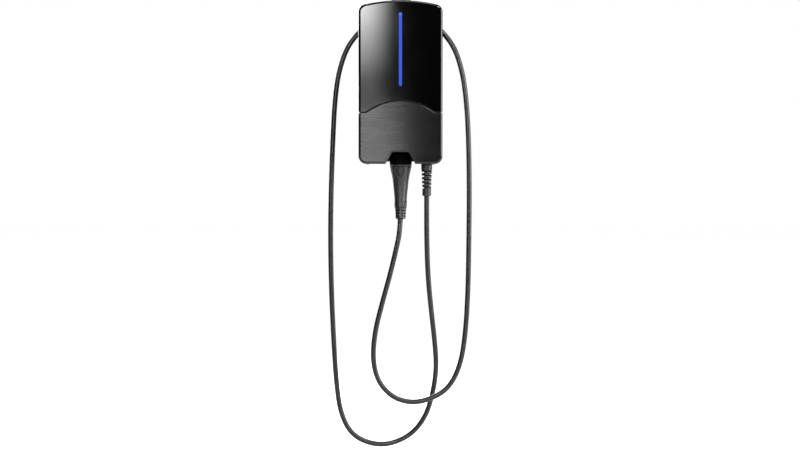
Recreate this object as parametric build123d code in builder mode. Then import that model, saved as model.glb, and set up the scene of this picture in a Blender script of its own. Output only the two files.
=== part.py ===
from build123d import *
import math
import os

os.makedirs("parts", exist_ok=True)

# A charging station for electric cars that hangs on a wall, with its own cable and plug.
# X runs to the right, Y into the wall and Z up. The origin is the middle of the four wall holes.
# Every depth is measured forwards from the wall: a depth of 10 is the plane Y = -10.

cut_over = 1
fit_gap = 0.5

# Covers
cover_width = 225
cover_height = 437
overall_depth = 116
cover_depth = 56
cover_wall = 3
top_radius = 442
corner_radius = 21
bow_radius = 1600
front_edge_radius = 7
seam_drop = 299.3
seam_flat = 20.6
seam_rise = 31.6
seam_gap = 2.4
seam_blend_radius = 14
seam_lip_radius = 1.4

cover_top = cover_height / 2
cover_bottom = -cover_height / 2
cover_back = overall_depth - cover_depth
seam_level = cover_top - seam_drop
seam_half_width = cover_width / 2 - seam_flat

# Opening for the plug in the lower cover
notch_half_bottom = 46
notch_half_top = 25
notch_height = 37.5
notch_flare = 20
notch_top_radius = 12
notch_bottom_radius = 8
notch_rim_width = 5
notch_bevel_depth = 4
notch_rim_depth = 12

# Light bar
light_width = 9.3
light_length = 196
light_drop = 130.3
light_flange = 3
light_flange_wall = 2
light_web_width = 5
light_fit = 0.15

light_middle = cover_top - light_drop

# Plug: its nose is round, with a flat towards the front
plug_setback = 48
plug_rise = 30
nose_radius = 28
nose_flat = 22
nose_corner_radius = 4
nose_edge_radius = 0.9
nose_length = 57
nose_wall = 2.8

plug_depth = overall_depth - plug_setback
shoulder_level = cover_bottom + plug_rise

# Holster for the parked plug
holster_wall = 2.5
holster_height = 50
holster_fit = 0.6
holster_flange_width = 78
holster_flange_length = 64
holster_flange_wall = 3
holster_corner_radius = 6
holster_screw_pitch = 70
holster_screw_radius = 1.5
holster_screw_length = 9
holster_boss_radius = 3.6
holster_boss_height = 8

# Rear housing: a drum that the cable is hung over, with a wider tray in front of it
housing_wall = 3.5
tray_step = 3
lid_room = 19
skirt_back = 1
bracket_room = 12
groove_width = 27.5
drum_drop = 49.5
drum_radius = 173
drum_corner_radius = 26
drum_foot_radius = 6
alcove_rear_room = 33
alcove_flare = 4
alcove_height = 42.5
alcove_corner_radius = 6
lid_joint_height = 126.5
lid_rib_depth = 53

tray_back = cover_back - tray_step
rim_depth = overall_depth - lid_room
tray_inset = cover_wall + fit_gap
tray_bottom = cover_bottom + tray_inset
inner_bottom = tray_bottom + housing_wall
room_back = bracket_room + housing_wall
tray_room_back = tray_back + housing_wall
drum_width = cover_width - 2 * groove_width
drum_crown = cover_top - drum_drop
alcove_back = plug_depth - alcove_rear_room
alcove_half_top = notch_half_bottom
alcove_half_bottom = alcove_half_top + alcove_flare
alcove_top = cover_bottom + alcove_height
lid_joint = cover_bottom + lid_joint_height
lid_rib_back = rim_depth - lid_rib_depth

# Wall bracket
sheet = 2.5
bracket_margin = 10
bracket_top_margin = 29
bracket_bottom_margin = 15
bracket_corner_radius = 14
bracket_neck_radius = 7
tab_radius = 50
tab_show = 10
tab_gap = 3.4
tab_gap_height = 52
wall_hole_radius = 3.25
wall_hole_margin = 20
wall_hole_spacing_z = 210
hat_width = 64
hat_height = 250
hat_rise = 6
hat_corner_radius = 10
hat_draft_angle = 2.5
window_width = 28
window_height = 26
window_spacing = 140
hook_width = 24
hook_arm = 5
hook_lip = 8
hook_lip_wall = 2.6
hook_clearance = 0.3
foot_width = 42
foot_reach = 18
foot_bend_radius = 2.5
foot_hole_depth = 10
lock_boss_width = 21
lock_boss_height = 14
lock_screw_radius = 2.1
lock_screw_length = 12

bracket_width = drum_width - 2 * bracket_margin
bracket_top = drum_crown - bracket_top_margin
bracket_bottom = tray_bottom + bracket_bottom_margin
wall_hole_spacing_x = bracket_width - 2 * wall_hole_margin
tab_middle = cover_top + tab_show - tab_radius
foot_level = tray_bottom - fit_gap / 2
window_levels = (window_spacing / 2, -window_spacing / 2)

# Screws: shares of a screw's own radius, and of its head's height
screw_head_height_share = 1.2
screw_head_radius_share = 1.9
screw_rim_share = 0.35
screw_socket_share = 0.9
screw_depth_share = 0.55
screw_fit = 0.1

# Lids, seals and their screws
lid_wall = 2.5
lid_inset = 0.6
lid_joint_gap = 1
seal_thickness = 1.2
seal_width = 2.4
lid_boss_radius = 5.5
lid_boss_margin = 13.5
lid_boss_top_drop = 32.5
lid_boss_joint_gap = 14
lid_boss_bottom_rise = 22
lid_screw_radius = 2
lid_screw_length = 14

lid_depth = rim_depth + seal_thickness
lid_front = lid_depth + lid_wall
lid_boss_x = cover_width / 2 - lid_boss_margin
lid_boss_top = cover_top - lid_boss_top_drop
lid_boss_low = lid_joint + lid_boss_joint_gap
upper_boss_levels = (lid_boss_top, (lid_boss_top + lid_boss_low) / 2, lid_boss_low)
lower_boss_levels = (lid_joint - lid_boss_joint_gap, tray_bottom + lid_boss_bottom_rise)

# Light board with its lamps
led_board_width = 14
led_board_wall = 1.6
led_frame_gap = 0.4
led_pitch = 16
led_count = 12
led_size = 3.5
led_height = 1.6

led_front = lid_front + led_board_wall + led_height

# Cable
cable_diameter = 14
cable_fit = 0.4
outlet_run = 12.6
bend_run_share = 0.45

# Gland and bend protection
gland_margin = 42.5
gland_setback = 38
gland_flange_radius = 15.5
gland_flange_below = 0.9
gland_thread_radius = 12.5
gland_thread_length = 16
gland_nut_radius = 17
gland_nut_height = 5
stub_height = 7
stub_radius = 11.2
seal_seat_height = 5
seal_seat_radius = 9.6
collar_radius = 14.9
collar_height = 14
collar_flutes = 24
flute_radius = 0.8
spiral_length = 60
spiral_pitch = 10.4
spiral_slot = 4.4
spiral_top_radius = 14.3
spiral_bottom_radius = 11.7
end_collar_height = 12
end_collar_radius = 12
end_collar_chamfer = 1.5

gland_x = cover_width / 2 - gland_margin
gland_depth = overall_depth - gland_setback
gland_bore = cable_diameter / 2 + cable_fit
flange_height = tray_inset + gland_flange_below
collar_top = tray_bottom - flange_height
stub_level = collar_top - stub_height
spiral_top = collar_top - collar_height
spiral_end = spiral_top - spiral_length
dome_end = spiral_end - end_collar_height

# Screws that hold the lower cover from below
cover_screw_gap = 18
cover_screw_setback = 26
cover_screw_radius = 1.7
cover_screw_length = 12
cover_boss_radius = 4
cover_boss_height = 9

cover_screw_x = gland_x + cover_screw_gap
cover_screw_depth = overall_depth - cover_screw_setback
cover_screw_points = [(side * cover_screw_x, -cover_screw_depth) for side in (-1, 1)]

# Inner end of the cable, its cores and the clamp that holds it
sheath_rise = 57
core_radius = 1.8
core_circle_radius = 4.6
core_rise = 13
core_rise_share = 1.2
core_straight = 8
core_bend_radius = 6
clamp_rise = 29
clamp_width = 12
clamp_wall = 3
clamp_screw_offset = 13
clamp_screw_radius = 1.7
clamp_screw_length = 12
clamp_boss_radius = 4.2

sheath_end = tray_bottom + sheath_rise
clamp_level = tray_bottom + clamp_rise
clamp_screw_points = [(gland_x + side * clamp_screw_offset, clamp_level) for side in (-1, 1)]

# Cable entries in the bottom wall
entry_margin = 19
supply_hole_radius = 10.5
supply_bore_radius = 8
data_hole_radius = 8
grommet_lip = 1.5
grommet_height = 8

entry_x = drum_width / 2 - entry_margin
entry_depth = (room_back + cover_back) / 2

# Main board; places on it are shares of its width and height, from its middle
board_wall = 1.6
board_side_margin = 11
board_top_margin = 35
board_bottom_margin = 57
board_corner_radius = 12
standoff_height = 7
standoff_radius = 4
standoff_side_margin = 8
standoff_end_margin = 12
standoff_rows = 3
board_screw_radius = 1.4
board_screw_length = 7

board_width = drum_width - 2 * board_side_margin
board_top = drum_crown - board_top_margin
board_bottom = tray_bottom + board_bottom_margin
board_height = board_top - board_bottom
board_middle = (board_top + board_bottom) / 2
board_depth = room_back + standoff_height
board_front = board_depth + board_wall
standoff_pitch_x = board_width - 2 * standoff_side_margin
standoff_pitch_z = (board_height - 2 * standoff_end_margin) / (standoff_rows - 1)

# What the main board carries
block_radius = 2
relay_width = 22
relay_height = 30
relay_depth = 26
relay_pitch_x = 28
relay_pitch_z = 38
relay_place_shares = (-0.28, 0.14)
power_width = 56
power_height = 38
power_depth = 24
power_place_shares = (-0.27, 0.36)
capacitor_radius = 9
capacitor_depth = 30
capacitor_pitch = 24
capacitor_count = 3
capacitor_place_shares = (0.2, 0.4)
sensor_radius = 20
sensor_hole_radius = 11
sensor_depth = 17
sensor_place_shares = (-0.28, -0.14)
control_pitch_x = 60
control_pitch_z = 74
control_place_shares = (0.19, 0.13)
spacer_radius = 4
spacer_height = 26
radio_width = 18
radio_height = 24
radio_depth = 3
can_radius = 1
socket_width = 16
socket_height = 21
socket_depth = 14
socket_wall = 1.2
socket_radius = 0.5
socket_place_shares = (-0.04, -0.33)

control_depth = board_front + spacer_height

# Terminals
way_pitch = 9
way_wall = 1.5
terminal_height = 26
terminal_depth = 24
terminal_screw_radius = 2
terminal_screw_length = 8
funnel_radius = 3.4
funnel_depth = 9
well_depth = 6
terminal_level_share = -0.336
supply_ways = 5
supply_side_share = -0.31
cable_ways = 6
cable_side_share = 0.284

# Collar of the plug, its seal and its contacts
collar_length = 32
collar_top_radius = 26.8
collar_wide_radius = 30
collar_end_radius = 29.8
collar_slope = 15
collar_floor = 9
shell_wall = 3.2
carrier_gap = 4
carrier_sink = 7
contact_length = 40
contact_fit = 0.05
power_radius = 4
power_bore = 3
power_front_count = 3
power_pitch = 14
power_rear_count = 2
power_rear_pitch = 16
power_row_gap = 12.5
signal_radius = 2.2
signal_bore = 1.5
signal_count = 2
signal_pitch = 13
signal_row_gap = 11.5
plug_seal_height = 3

collar_end = shoulder_level - collar_length
nose_floor = shoulder_level - collar_floor
carrier_height = nose_length - carrier_sink

# Plug handle: its sections are shares of its length, its width and its thickness
handle_length = 120
handle_lean = 12
handle_width = 59.6
handle_thickness = 59.6
handle_section_shares = [
    (0, 1, 1),
    (0.08, 0.955, 0.95),
    (0.18, 0.87, 0.86),
    (0.3, 0.765, 0.75),
    (0.44, 0.69, 0.67),
    (0.6, 0.625, 0.62),
    (0.76, 0.567, 0.585),
    (0.88, 0.563, 0.57),
    (1, 0.505, 0.505),
]
panel_top_half = 21.5
panel_bottom_half = 9.5
panel_margin = 4
panel_groove = 1.4
panel_wall = 2
panel_lap = 1.5
panel_fit = 0.05
panel_corner_radius = 4
thumb_radius = 9.5
thumb_drop = 14
thumb_point = 19
thumb_depth = 1.6
plug_screw_place_shares = [(0.82, 0.055), (0.465, 0.84)]
plug_screw_radius = 1.2
plug_screw_length = 9
plug_screw_well = 2.4
plug_screw_seat = 4
plug_boss_radius = 3.8

# Strain relief: a ribbed sleeve with rows of slots, and the ring that clamps the cable over it
relief_length = 26.5
relief_top_radius = 14.7
relief_end_radius = 13.4
relief_fit = 0.3
relief_core = 4.3
relief_spigot = 8
relief_spigot_radius = 11.6
relief_rows = 3
relief_row_pitch = 7.3
relief_first_row = 4.4
relief_slot = 2.7
relief_spine = 4.5
relief_side_spine = 7
clamp_ring_height = 8
clamp_ring_radius = 9.8

relief_bore = cable_diameter / 2 + relief_fit


def at_depth(depth):
    return Plane.XZ.offset(depth)


def at_level(level):
    return Plane.XY.offset(level)


# Outline of the covers: straight sides, a slightly domed top and round corners
def cover_face(depth, inset):
    half = cover_width / 2
    shoulder = cover_top - (top_radius - math.sqrt(top_radius**2 - half**2))
    with BuildSketch(at_depth(depth)) as face:
        with BuildLine():
            Polyline(
                (-half, shoulder),
                (-half, cover_bottom),
                (half, cover_bottom),
                (half, shoulder),
            )
            ThreePointArc((half, shoulder), (0, cover_top), (-half, shoulder))
        make_face()
        fillet(face.vertices(), corner_radius)
        if inset:
            offset(amount=-inset)
    return face.sketch


# The block that both covers are cut from, with a bowed front and a rounded front edge
def front_form(back, inset):
    with BuildPart() as form:
        extrude(cover_face(back, inset), amount=overall_depth - back)
        with Locations((0, bow_radius - overall_depth, 0)):
            Cylinder(bow_radius - inset, 2 * cover_height, mode=Mode.INTERSECT)
        fillet(form.faces().sort_by(Axis.Y)[0].edges(), front_edge_radius - inset)
    return form.part


def cover_shell():
    with BuildPart() as shell:
        add(front_form(cover_back, 0))
        add(front_form(cover_back, cover_wall), mode=Mode.SUBTRACT)
    return shell.part


# Everything under the seam, moved up by lift
def below_seam(lift):
    level = seam_level + lift
    with BuildSketch(at_depth(cover_back - cut_over)) as face:
        with BuildLine():
            Polyline(
                (seam_half_width, level),
                (cover_width, level),
                (cover_width, -cover_height),
                (-cover_width, -cover_height),
                (-cover_width, level),
                (-seam_half_width, level),
            )
            crown = (0, level + seam_rise)
            ThreePointArc((-seam_half_width, level), crown, (seam_half_width, level))
        make_face()
        bends = face.vertices().filter_by_position(Axis.X, -cover_width / 2, cover_width / 2)
        fillet(bends, seam_blend_radius)
    with BuildPart() as block:
        extrude(face.sketch, amount=overall_depth)
    return block.part


# The outer edges of a seam: the ones that are not on a cover's inside or its back
def seam_edges(cover, middle_form):
    edges = cover.edges(Select.LAST)
    return edges.filter_by(lambda e: not middle_form.is_inside(e @ 0.5))


cover_middle = front_form(cover_back - cut_over, cover_wall / 2).solid()

with BuildPart() as upper_cover:
    add(cover_shell())
    add(below_seam(seam_gap / 2), mode=Mode.SUBTRACT)
    fillet(seam_edges(upper_cover, cover_middle), seam_lip_radius)
    with BuildSketch(at_depth(overall_depth + cut_over)) as light_slot:
        with Locations((0, light_middle)):
            SlotOverall(light_length, light_width, rotation=90)
    extrude(light_slot.sketch, amount=-light_width, mode=Mode.SUBTRACT)
upper_cover.part.label = "upper_cover"
export_step(upper_cover.part, "parts/upper_cover.step")
print("upper_cover", upper_cover.part.volume)


# Opening for the plug: it narrows upwards and flares into the bottom edge
def notch_face(depth, grow):
    bottom = cover_bottom
    wide = notch_half_bottom + notch_flare
    top = bottom + notch_height
    with BuildSketch(at_depth(depth)) as face:
        with BuildLine():
            Polyline(
                (-wide, bottom - notch_flare),
                (-wide, bottom),
                (-notch_half_bottom, bottom),
                (-notch_half_top, top),
                (notch_half_top, top),
                (notch_half_bottom, bottom),
                (wide, bottom),
                (wide, bottom - notch_flare),
                close=True,
            )
        make_face()
        corners = face.vertices()
        fillet(corners.group_by(Axis.Y)[-1], notch_top_radius)
        foot = face.vertices().filter_by_position(Axis.Y, bottom - cut_over, bottom + cut_over)
        inner = foot.filter_by_position(Axis.X, -wide + cut_over, wide - cut_over)
        fillet(inner, notch_bottom_radius)
        if grow:
            offset(amount=grow)
    return face.sketch


# Inner wall around the opening, with a bevelled front edge
def notch_rim():
    rim_back = overall_depth - notch_rim_depth
    bevel_back = overall_depth - notch_bevel_depth - cover_wall
    with BuildPart() as rim:
        extrude(notch_face(rim_back, cover_wall - notch_rim_width), amount=notch_rim_depth)
        extrude(notch_face(bevel_back, 0), amount=overall_depth - bevel_back)
        add(front_form(cover_back, 0), mode=Mode.INTERSECT)
    return rim.part


with BuildPart() as lower_cover:
    add(cover_shell())
    add(below_seam(-seam_gap / 2), mode=Mode.INTERSECT)
    fillet(seam_edges(lower_cover, cover_middle), seam_lip_radius)
    add(notch_rim())
    extrude(
        notch_face(cover_back - cut_over, -notch_rim_width),
        amount=overall_depth,
        mode=Mode.SUBTRACT,
    )
    loft(
        [
            notch_face(overall_depth, 0).face(),
            notch_face(overall_depth - notch_bevel_depth, -notch_rim_width).face(),
        ],
        ruled=True,
        mode=Mode.SUBTRACT,
    )
    # slot that slips over the gland, and the holes for the screws
    slot_radius = gland_flange_radius + fit_gap
    with BuildSketch(at_level(cover_bottom)) as bottom_cuts:
        with Locations((gland_x, -gland_depth)):
            Circle(slot_radius)
            Rectangle(2 * slot_radius, gland_depth, align=(Align.CENTER, Align.MIN))
        with Locations(*cover_screw_points):
            Circle(cover_screw_radius + screw_fit)
    extrude(bottom_cuts.sketch, amount=cover_wall, mode=Mode.SUBTRACT)
lower_cover.part.label = "lower_cover"
export_step(lower_cover.part, "parts/lower_cover.step")
print("lower_cover", lower_cover.part.volume)


# Bar that fills the slot, with a flange behind the cover and a web that takes the light in
light_flange_depth = overall_depth - cover_wall - light_fit - light_flange_wall


def light_face(depth, length, width):
    with BuildSketch(at_depth(depth)) as face:
        with Locations((0, light_middle)):
            SlotOverall(length, width, rotation=90)
    return face.sketch


with BuildPart() as light_guide:
    bar_length = light_length - 2 * light_fit
    bar_width = light_width - 2 * light_fit
    extrude(
        light_face(light_flange_depth, bar_length, bar_width),
        amount=overall_depth - light_fit - light_flange_depth,
    )
    extrude(
        light_face(
            light_flange_depth,
            light_length + 2 * light_flange,
            light_width + 2 * light_flange,
        ),
        amount=light_flange_wall,
    )
    extrude(
        light_face(led_front + light_fit, bar_length, light_web_width),
        amount=light_flange_depth - led_front - light_fit,
    )
light_guide.part.label = "light_guide"
export_step(light_guide.part, "parts/light_guide.step")


# Outline of the drum that the cable is hung over: straight sides under an arched top
def drum_face(depth, inset):
    half = drum_width / 2
    shoulder = drum_crown - (drum_radius - math.sqrt(drum_radius**2 - half**2))
    with BuildSketch(at_depth(depth)) as face:
        with BuildLine():
            Polyline(
                (-half, shoulder),
                (-half, tray_bottom),
                (half, tray_bottom),
                (half, shoulder),
            )
            ThreePointArc((half, shoulder), (0, drum_crown), (-half, shoulder))
        make_face()
        fillet(face.vertices().group_by(Axis.Y)[-1], drum_corner_radius)
        fillet(face.vertices().group_by(Axis.Y)[0], drum_foot_radius)
        if inset:
            offset(amount=-inset)
    return face.sketch


# Recess for the plug at the bottom of the housing
def alcove_face(depth, grow):
    low = tray_bottom - alcove_corner_radius
    with BuildSketch(at_depth(depth)) as face:
        with BuildLine():
            Polyline(
                (-alcove_half_bottom, low),
                (-alcove_half_top, alcove_top),
                (alcove_half_top, alcove_top),
                (alcove_half_bottom, low),
                close=True,
            )
        make_face()
        fillet(face.vertices().group_by(Axis.Y)[-1], alcove_corner_radius)
        if grow:
            offset(amount=grow)
    return face.sketch


# Outline of the plug's nose, grown by grow
def nose_face(level, grow):
    with BuildSketch(at_level(level)) as face:
        with Locations((0, -plug_depth)):
            Circle(nose_radius)
        with Locations((0, -plug_depth - nose_flat)):
            width = 4 * nose_radius
            Rectangle(width, width, align=(Align.CENTER, Align.MAX), mode=Mode.SUBTRACT)
        fillet(face.vertices(), nose_corner_radius)
        if grow:
            offset(amount=grow)
    return face.sketch


def lid_boss_points():
    levels = upper_boss_levels + lower_boss_levels
    return [(side * lid_boss_x, level) for level in levels for side in (-1, 1)]


def upper_lid_points():
    return [point for point in lid_boss_points() if point[1] > lid_joint]


def lower_lid_points():
    return [point for point in lid_boss_points() if point[1] < lid_joint]


# Equal steps on both sides of a middle value
def row_places(middle, pitch, count):
    return [middle + (i - (count - 1) / 2) * pitch for i in range(count)]


def standoff_points():
    levels = row_places(board_middle, standoff_pitch_z, standoff_rows)
    return [(side * standoff_pitch_x / 2, level) for level in levels for side in (-1, 1)]


holster_screw_points = [(side * holster_screw_pitch / 2, -plug_depth) for side in (-1, 1)]

# Rear housing, open in front and hollow behind for the bracket
with BuildPart() as rear_housing:
    extrude(drum_face(skirt_back, 0), amount=rim_depth - skirt_back)
    extrude(cover_face(tray_back, tray_inset), amount=rim_depth - tray_back)
    # the drum's room and the wider tray in front of it
    extrude(drum_face(room_back, housing_wall), amount=rim_depth - room_back, mode=Mode.SUBTRACT)
    extrude(
        cover_face(tray_room_back, tray_inset + housing_wall),
        amount=rim_depth - tray_room_back,
        mode=Mode.SUBTRACT,
    )
    # hollow back that takes the wall bracket
    extrude(drum_face(0, housing_wall), amount=bracket_room, mode=Mode.SUBTRACT)
    # shelf that the cable clamp stands on
    with BuildSketch(at_depth(tray_back)) as clamp_shelf:
        with Locations((alcove_half_top, tray_bottom)):
            shelf_width = drum_width / 2 - alcove_half_top
            shelf_height = clamp_level + clamp_screw_offset - tray_bottom
            Rectangle(shelf_width, shelf_height, align=(Align.MIN, Align.MIN))
    extrude(clamp_shelf.sketch, amount=housing_wall)
    # walls round the plug's recess, then the recess itself
    alcove_wall = alcove_face(alcove_back - housing_wall, housing_wall)
    extrude(alcove_wall, amount=rim_depth - alcove_back + housing_wall)
    extrude(alcove_face(alcove_back, 0), amount=rim_depth, mode=Mode.SUBTRACT)
    with BuildSketch(at_level(tray_bottom)) as under:
        Rectangle(cover_width, 2 * overall_depth)
    extrude(under.sketch, amount=-cover_height, mode=Mode.SUBTRACT)
    # rib under the joint of the two lids
    with BuildSketch(at_depth(lid_rib_back)) as drum_rib:
        with Locations((0, lid_joint)):
            Rectangle(drum_width - housing_wall, housing_wall)
    extrude(drum_rib.sketch, amount=rim_depth - lid_rib_back)
    with BuildSketch(at_depth(tray_back)) as tray_rib:
        with Locations((0, lid_joint)):
            Rectangle(cover_width - 2 * tray_inset - housing_wall, 2 * housing_wall)
    extrude(tray_rib.sketch, amount=rim_depth - tray_back)
    # bosses for the lid screws
    with BuildSketch(at_depth(tray_back)) as lid_bosses:
        with Locations(*lid_boss_points()):
            Circle(lid_boss_radius)
    extrude(lid_bosses.sketch, amount=rim_depth - tray_back)
    with BuildSketch(at_depth(rim_depth)) as lid_pilots:
        with Locations(*lid_boss_points()):
            Circle(lid_screw_radius + screw_fit)
    extrude(lid_pilots.sketch, amount=-lid_screw_length, mode=Mode.SUBTRACT)
    # standoffs for the main board
    with BuildSketch(at_depth(bracket_room)) as standoffs:
        with Locations(*standoff_points()):
            Circle(standoff_radius)
    extrude(standoffs.sketch, amount=board_depth - bracket_room)
    with BuildSketch(at_depth(board_depth)) as standoff_pilots:
        with Locations(*standoff_points()):
            Circle(board_screw_radius + screw_fit)
    extrude(standoff_pilots.sketch, amount=-board_screw_length, mode=Mode.SUBTRACT)
    # bosses for the cable clamp
    with BuildSketch(at_depth(tray_back)) as clamp_bosses:
        with Locations(*clamp_screw_points):
            Circle(clamp_boss_radius)
    extrude(clamp_bosses.sketch, amount=gland_depth - tray_back)
    with BuildSketch(at_depth(gland_depth)) as clamp_pilots:
        with Locations(*clamp_screw_points):
            Circle(clamp_screw_radius + screw_fit)
    extrude(clamp_pilots.sketch, amount=tray_room_back - gland_depth, mode=Mode.SUBTRACT)
    # bosses for the lower cover's screws
    with BuildSketch(at_level(tray_bottom)) as cover_bosses:
        with Locations(*cover_screw_points):
            Circle(cover_boss_radius)
    extrude(cover_bosses.sketch, amount=cover_boss_height)
    with BuildSketch(at_level(tray_bottom)) as cover_pilots:
        with Locations(*cover_screw_points):
            Circle(cover_screw_radius + screw_fit)
    extrude(cover_pilots.sketch, amount=cover_screw_length, mode=Mode.SUBTRACT)
    # holster's hole and its screw bosses in the recess's ceiling
    holster_hole = nose_face(alcove_top - cut_over, holster_fit + holster_wall + fit_gap)
    extrude(holster_hole, amount=2 * housing_wall, mode=Mode.SUBTRACT)
    with BuildSketch(at_level(alcove_top)) as holster_bosses:
        with Locations(*holster_screw_points):
            Circle(holster_boss_radius)
    extrude(holster_bosses.sketch, amount=holster_boss_height)
    with BuildSketch(at_level(alcove_top)) as holster_pilots:
        with Locations(*holster_screw_points):
            Circle(holster_screw_radius + screw_fit)
    extrude(holster_pilots.sketch, amount=holster_boss_height, mode=Mode.SUBTRACT)
    # cable entries
    with BuildSketch(at_level(tray_bottom - cut_over)) as entries:
        with Locations((gland_x, -gland_depth)):
            Circle(gland_thread_radius + screw_fit)
        with Locations((-entry_x, -entry_depth)):
            Circle(supply_hole_radius)
        with Locations((entry_x, -entry_depth)):
            Circle(data_hole_radius)
    extrude(entries.sketch, amount=housing_wall + 2 * cut_over, mode=Mode.SUBTRACT)
    # gaps in the skirt for the bracket's tab and foot
    with BuildSketch(at_depth(0)) as skirt_gaps:
        with Locations((0, drum_crown)):
            Rectangle(2 * tab_radius + 2 * cut_over, tab_gap_height)
        with Locations((0, tray_bottom)):
            Rectangle(foot_width + 2 * cut_over, tab_gap_height / 2)
    extrude(skirt_gaps.sketch, amount=tab_gap, mode=Mode.SUBTRACT)
    # hooks that hang in the bracket's windows
    with BuildSketch(at_depth(sheet + hook_clearance)) as hooks:
        for level in window_levels:
            with Locations((0, level - window_height / 2)):
                Rectangle(hook_width, hook_arm, align=(Align.CENTER, Align.MIN))
    extrude(hooks.sketch, amount=bracket_room - sheet - hook_clearance)
    with BuildSketch(at_depth(sheet + hook_clearance)) as hook_lips:
        for level in window_levels:
            with Locations((0, level - window_height / 2 + hook_arm)):
                Rectangle(hook_width, hook_arm + hook_lip, align=(Align.CENTER, Align.MAX))
    extrude(hook_lips.sketch, amount=hook_lip_wall)
    # boss for the bracket's lock screw
    with BuildSketch(at_level(tray_bottom)) as lock_boss:
        with Locations((0, -bracket_room)):
            Rectangle(lock_boss_width, bracket_room - tab_gap, align=(Align.CENTER, Align.MIN))
    extrude(lock_boss.sketch, amount=lock_boss_height)
    with BuildSketch(at_level(tray_bottom)) as lock_pilot:
        with Locations((0, -foot_hole_depth)):
            Circle(lock_screw_radius + screw_fit)
    extrude(lock_pilot.sketch, amount=lock_boss_height - housing_wall, mode=Mode.SUBTRACT)
rear_housing.part.label = "rear_housing"
export_step(rear_housing.part, "parts/rear_housing.step")
print("rear_housing", rear_housing.part.volume, len(rear_housing.solids()))


# Pressed steel bracket on the wall: flat sides with the four wall holes, a raised middle with
# two windows for the housing's hooks, a round tab above the housing and a foot for the lock screw
with BuildPart() as wall_bracket:
    with BuildSketch(at_depth(0)) as plate:
        with Locations((0, bracket_bottom)):
            plate_height = bracket_top - bracket_bottom
            Rectangle(bracket_width, plate_height, align=(Align.CENTER, Align.MIN))
        fillet(plate.vertices(), bracket_corner_radius)
        with Locations((0, tab_middle)):
            Circle(tab_radius)
            neck_height = tab_middle - bracket_bottom
            Rectangle(2 * tab_radius, neck_height, align=(Align.CENTER, Align.MAX))
        with Locations((0, bracket_bottom)):
            foot_height = bracket_bottom - foot_level + sheet
            Rectangle(foot_width, foot_height, align=(Align.CENTER, Align.MAX))
        low = bracket_top - cut_over
        high = bracket_top + cut_over
        neck = plate.vertices().filter_by_position(Axis.Y, low, high)
        fillet(neck.filter_by_position(Axis.X, -tab_radius, tab_radius), bracket_neck_radius)
    extrude(plate.sketch, amount=sheet)
    with BuildSketch(at_depth(0)) as hat:
        RectangleRounded(hat_width, hat_height, hat_corner_radius)
    extrude(hat.sketch, amount=hat_rise + sheet, taper=hat_draft_angle)
    with BuildSketch(at_depth(0)) as hat_room:
        room_width = hat_width - 2 * sheet
        room_height = hat_height - 2 * sheet
        RectangleRounded(room_width, room_height, hat_corner_radius - sheet)
    extrude(hat_room.sketch, amount=hat_rise, taper=hat_draft_angle, mode=Mode.SUBTRACT)
    with BuildSketch(at_depth(0)) as windows:
        with GridLocations(window_spacing, window_spacing, 1, 2):
            Rectangle(window_width, window_height)
    extrude(windows.sketch, amount=hat_rise + 2 * sheet, mode=Mode.SUBTRACT)
    with BuildSketch(at_depth(0)) as wall_holes:
        with GridLocations(wall_hole_spacing_x, wall_hole_spacing_z, 2, 2):
            Circle(wall_hole_radius)
    extrude(wall_holes.sketch, amount=sheet, mode=Mode.SUBTRACT)
    with BuildSketch(at_level(foot_level)) as foot:
        Rectangle(foot_width, foot_reach, align=(Align.CENTER, Align.MAX))
        fillet(foot.vertices().group_by(Axis.Y)[0], foot_bend_radius)
        with Locations((0, -foot_hole_depth)):
            Circle(lock_screw_radius + screw_fit, mode=Mode.SUBTRACT)
    extrude(foot.sketch, amount=-sheet)
wall_bracket.part.label = "wall_bracket"
export_step(wall_bracket.part, "parts/wall_bracket.step")
print("wall_bracket", wall_bracket.part.volume, len(wall_bracket.solids()))


# Equal pan-head screws: their heads stand on the seat plane and their shanks go in behind it
def screws(seat, points, radius, length):
    head_radius = radius * screw_head_radius_share
    head_height = radius * screw_head_height_share
    with BuildPart() as row:
        with BuildSketch(seat) as heads:
            with Locations(*points):
                Circle(head_radius)
        extrude(heads.sketch, amount=head_height)
        rims = row.edges().group_by(Axis(seat.origin, seat.z_dir))[-1]
        fillet(rims, head_height * screw_rim_share)
        with BuildSketch(seat.offset(head_height)) as sockets:
            with Locations(*points):
                RegularPolygon(radius * screw_socket_share, 6)
        extrude(sockets.sketch, amount=-head_height * screw_depth_share, mode=Mode.SUBTRACT)
        with BuildSketch(seat) as shanks:
            with Locations(*points):
                Circle(radius)
        extrude(shanks.sketch, amount=-length)
    return row.part


with BuildPart() as bracket_lock_screw:
    foot_seat = Plane(origin=(0, 0, foot_level - sheet), x_dir=(1, 0, 0), z_dir=(0, 0, -1))
    add(screws(foot_seat, [(0, foot_hole_depth)], lock_screw_radius, lock_screw_length))
bracket_lock_screw.part.label = "bracket_lock_screw"
export_step(bracket_lock_screw.part, "parts/bracket_lock_screw.step")


# Lids over the housing: the upper one closes the electronics, the lower one the terminals
def rim_face(depth, upper, inset):
    edge = lid_joint + lid_joint_gap / 2 if upper else lid_joint - lid_joint_gap / 2
    side = Align.MIN if upper else Align.MAX
    with BuildSketch(at_depth(depth)) as face:
        add(cover_face(0, tray_inset + inset))
        if not upper:
            add(alcove_face(0, inset), mode=Mode.SUBTRACT)
        with Locations((0, edge)):
            Rectangle(cover_width, cover_height, align=(Align.CENTER, side), mode=Mode.INTERSECT)
    return face.sketch


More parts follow.
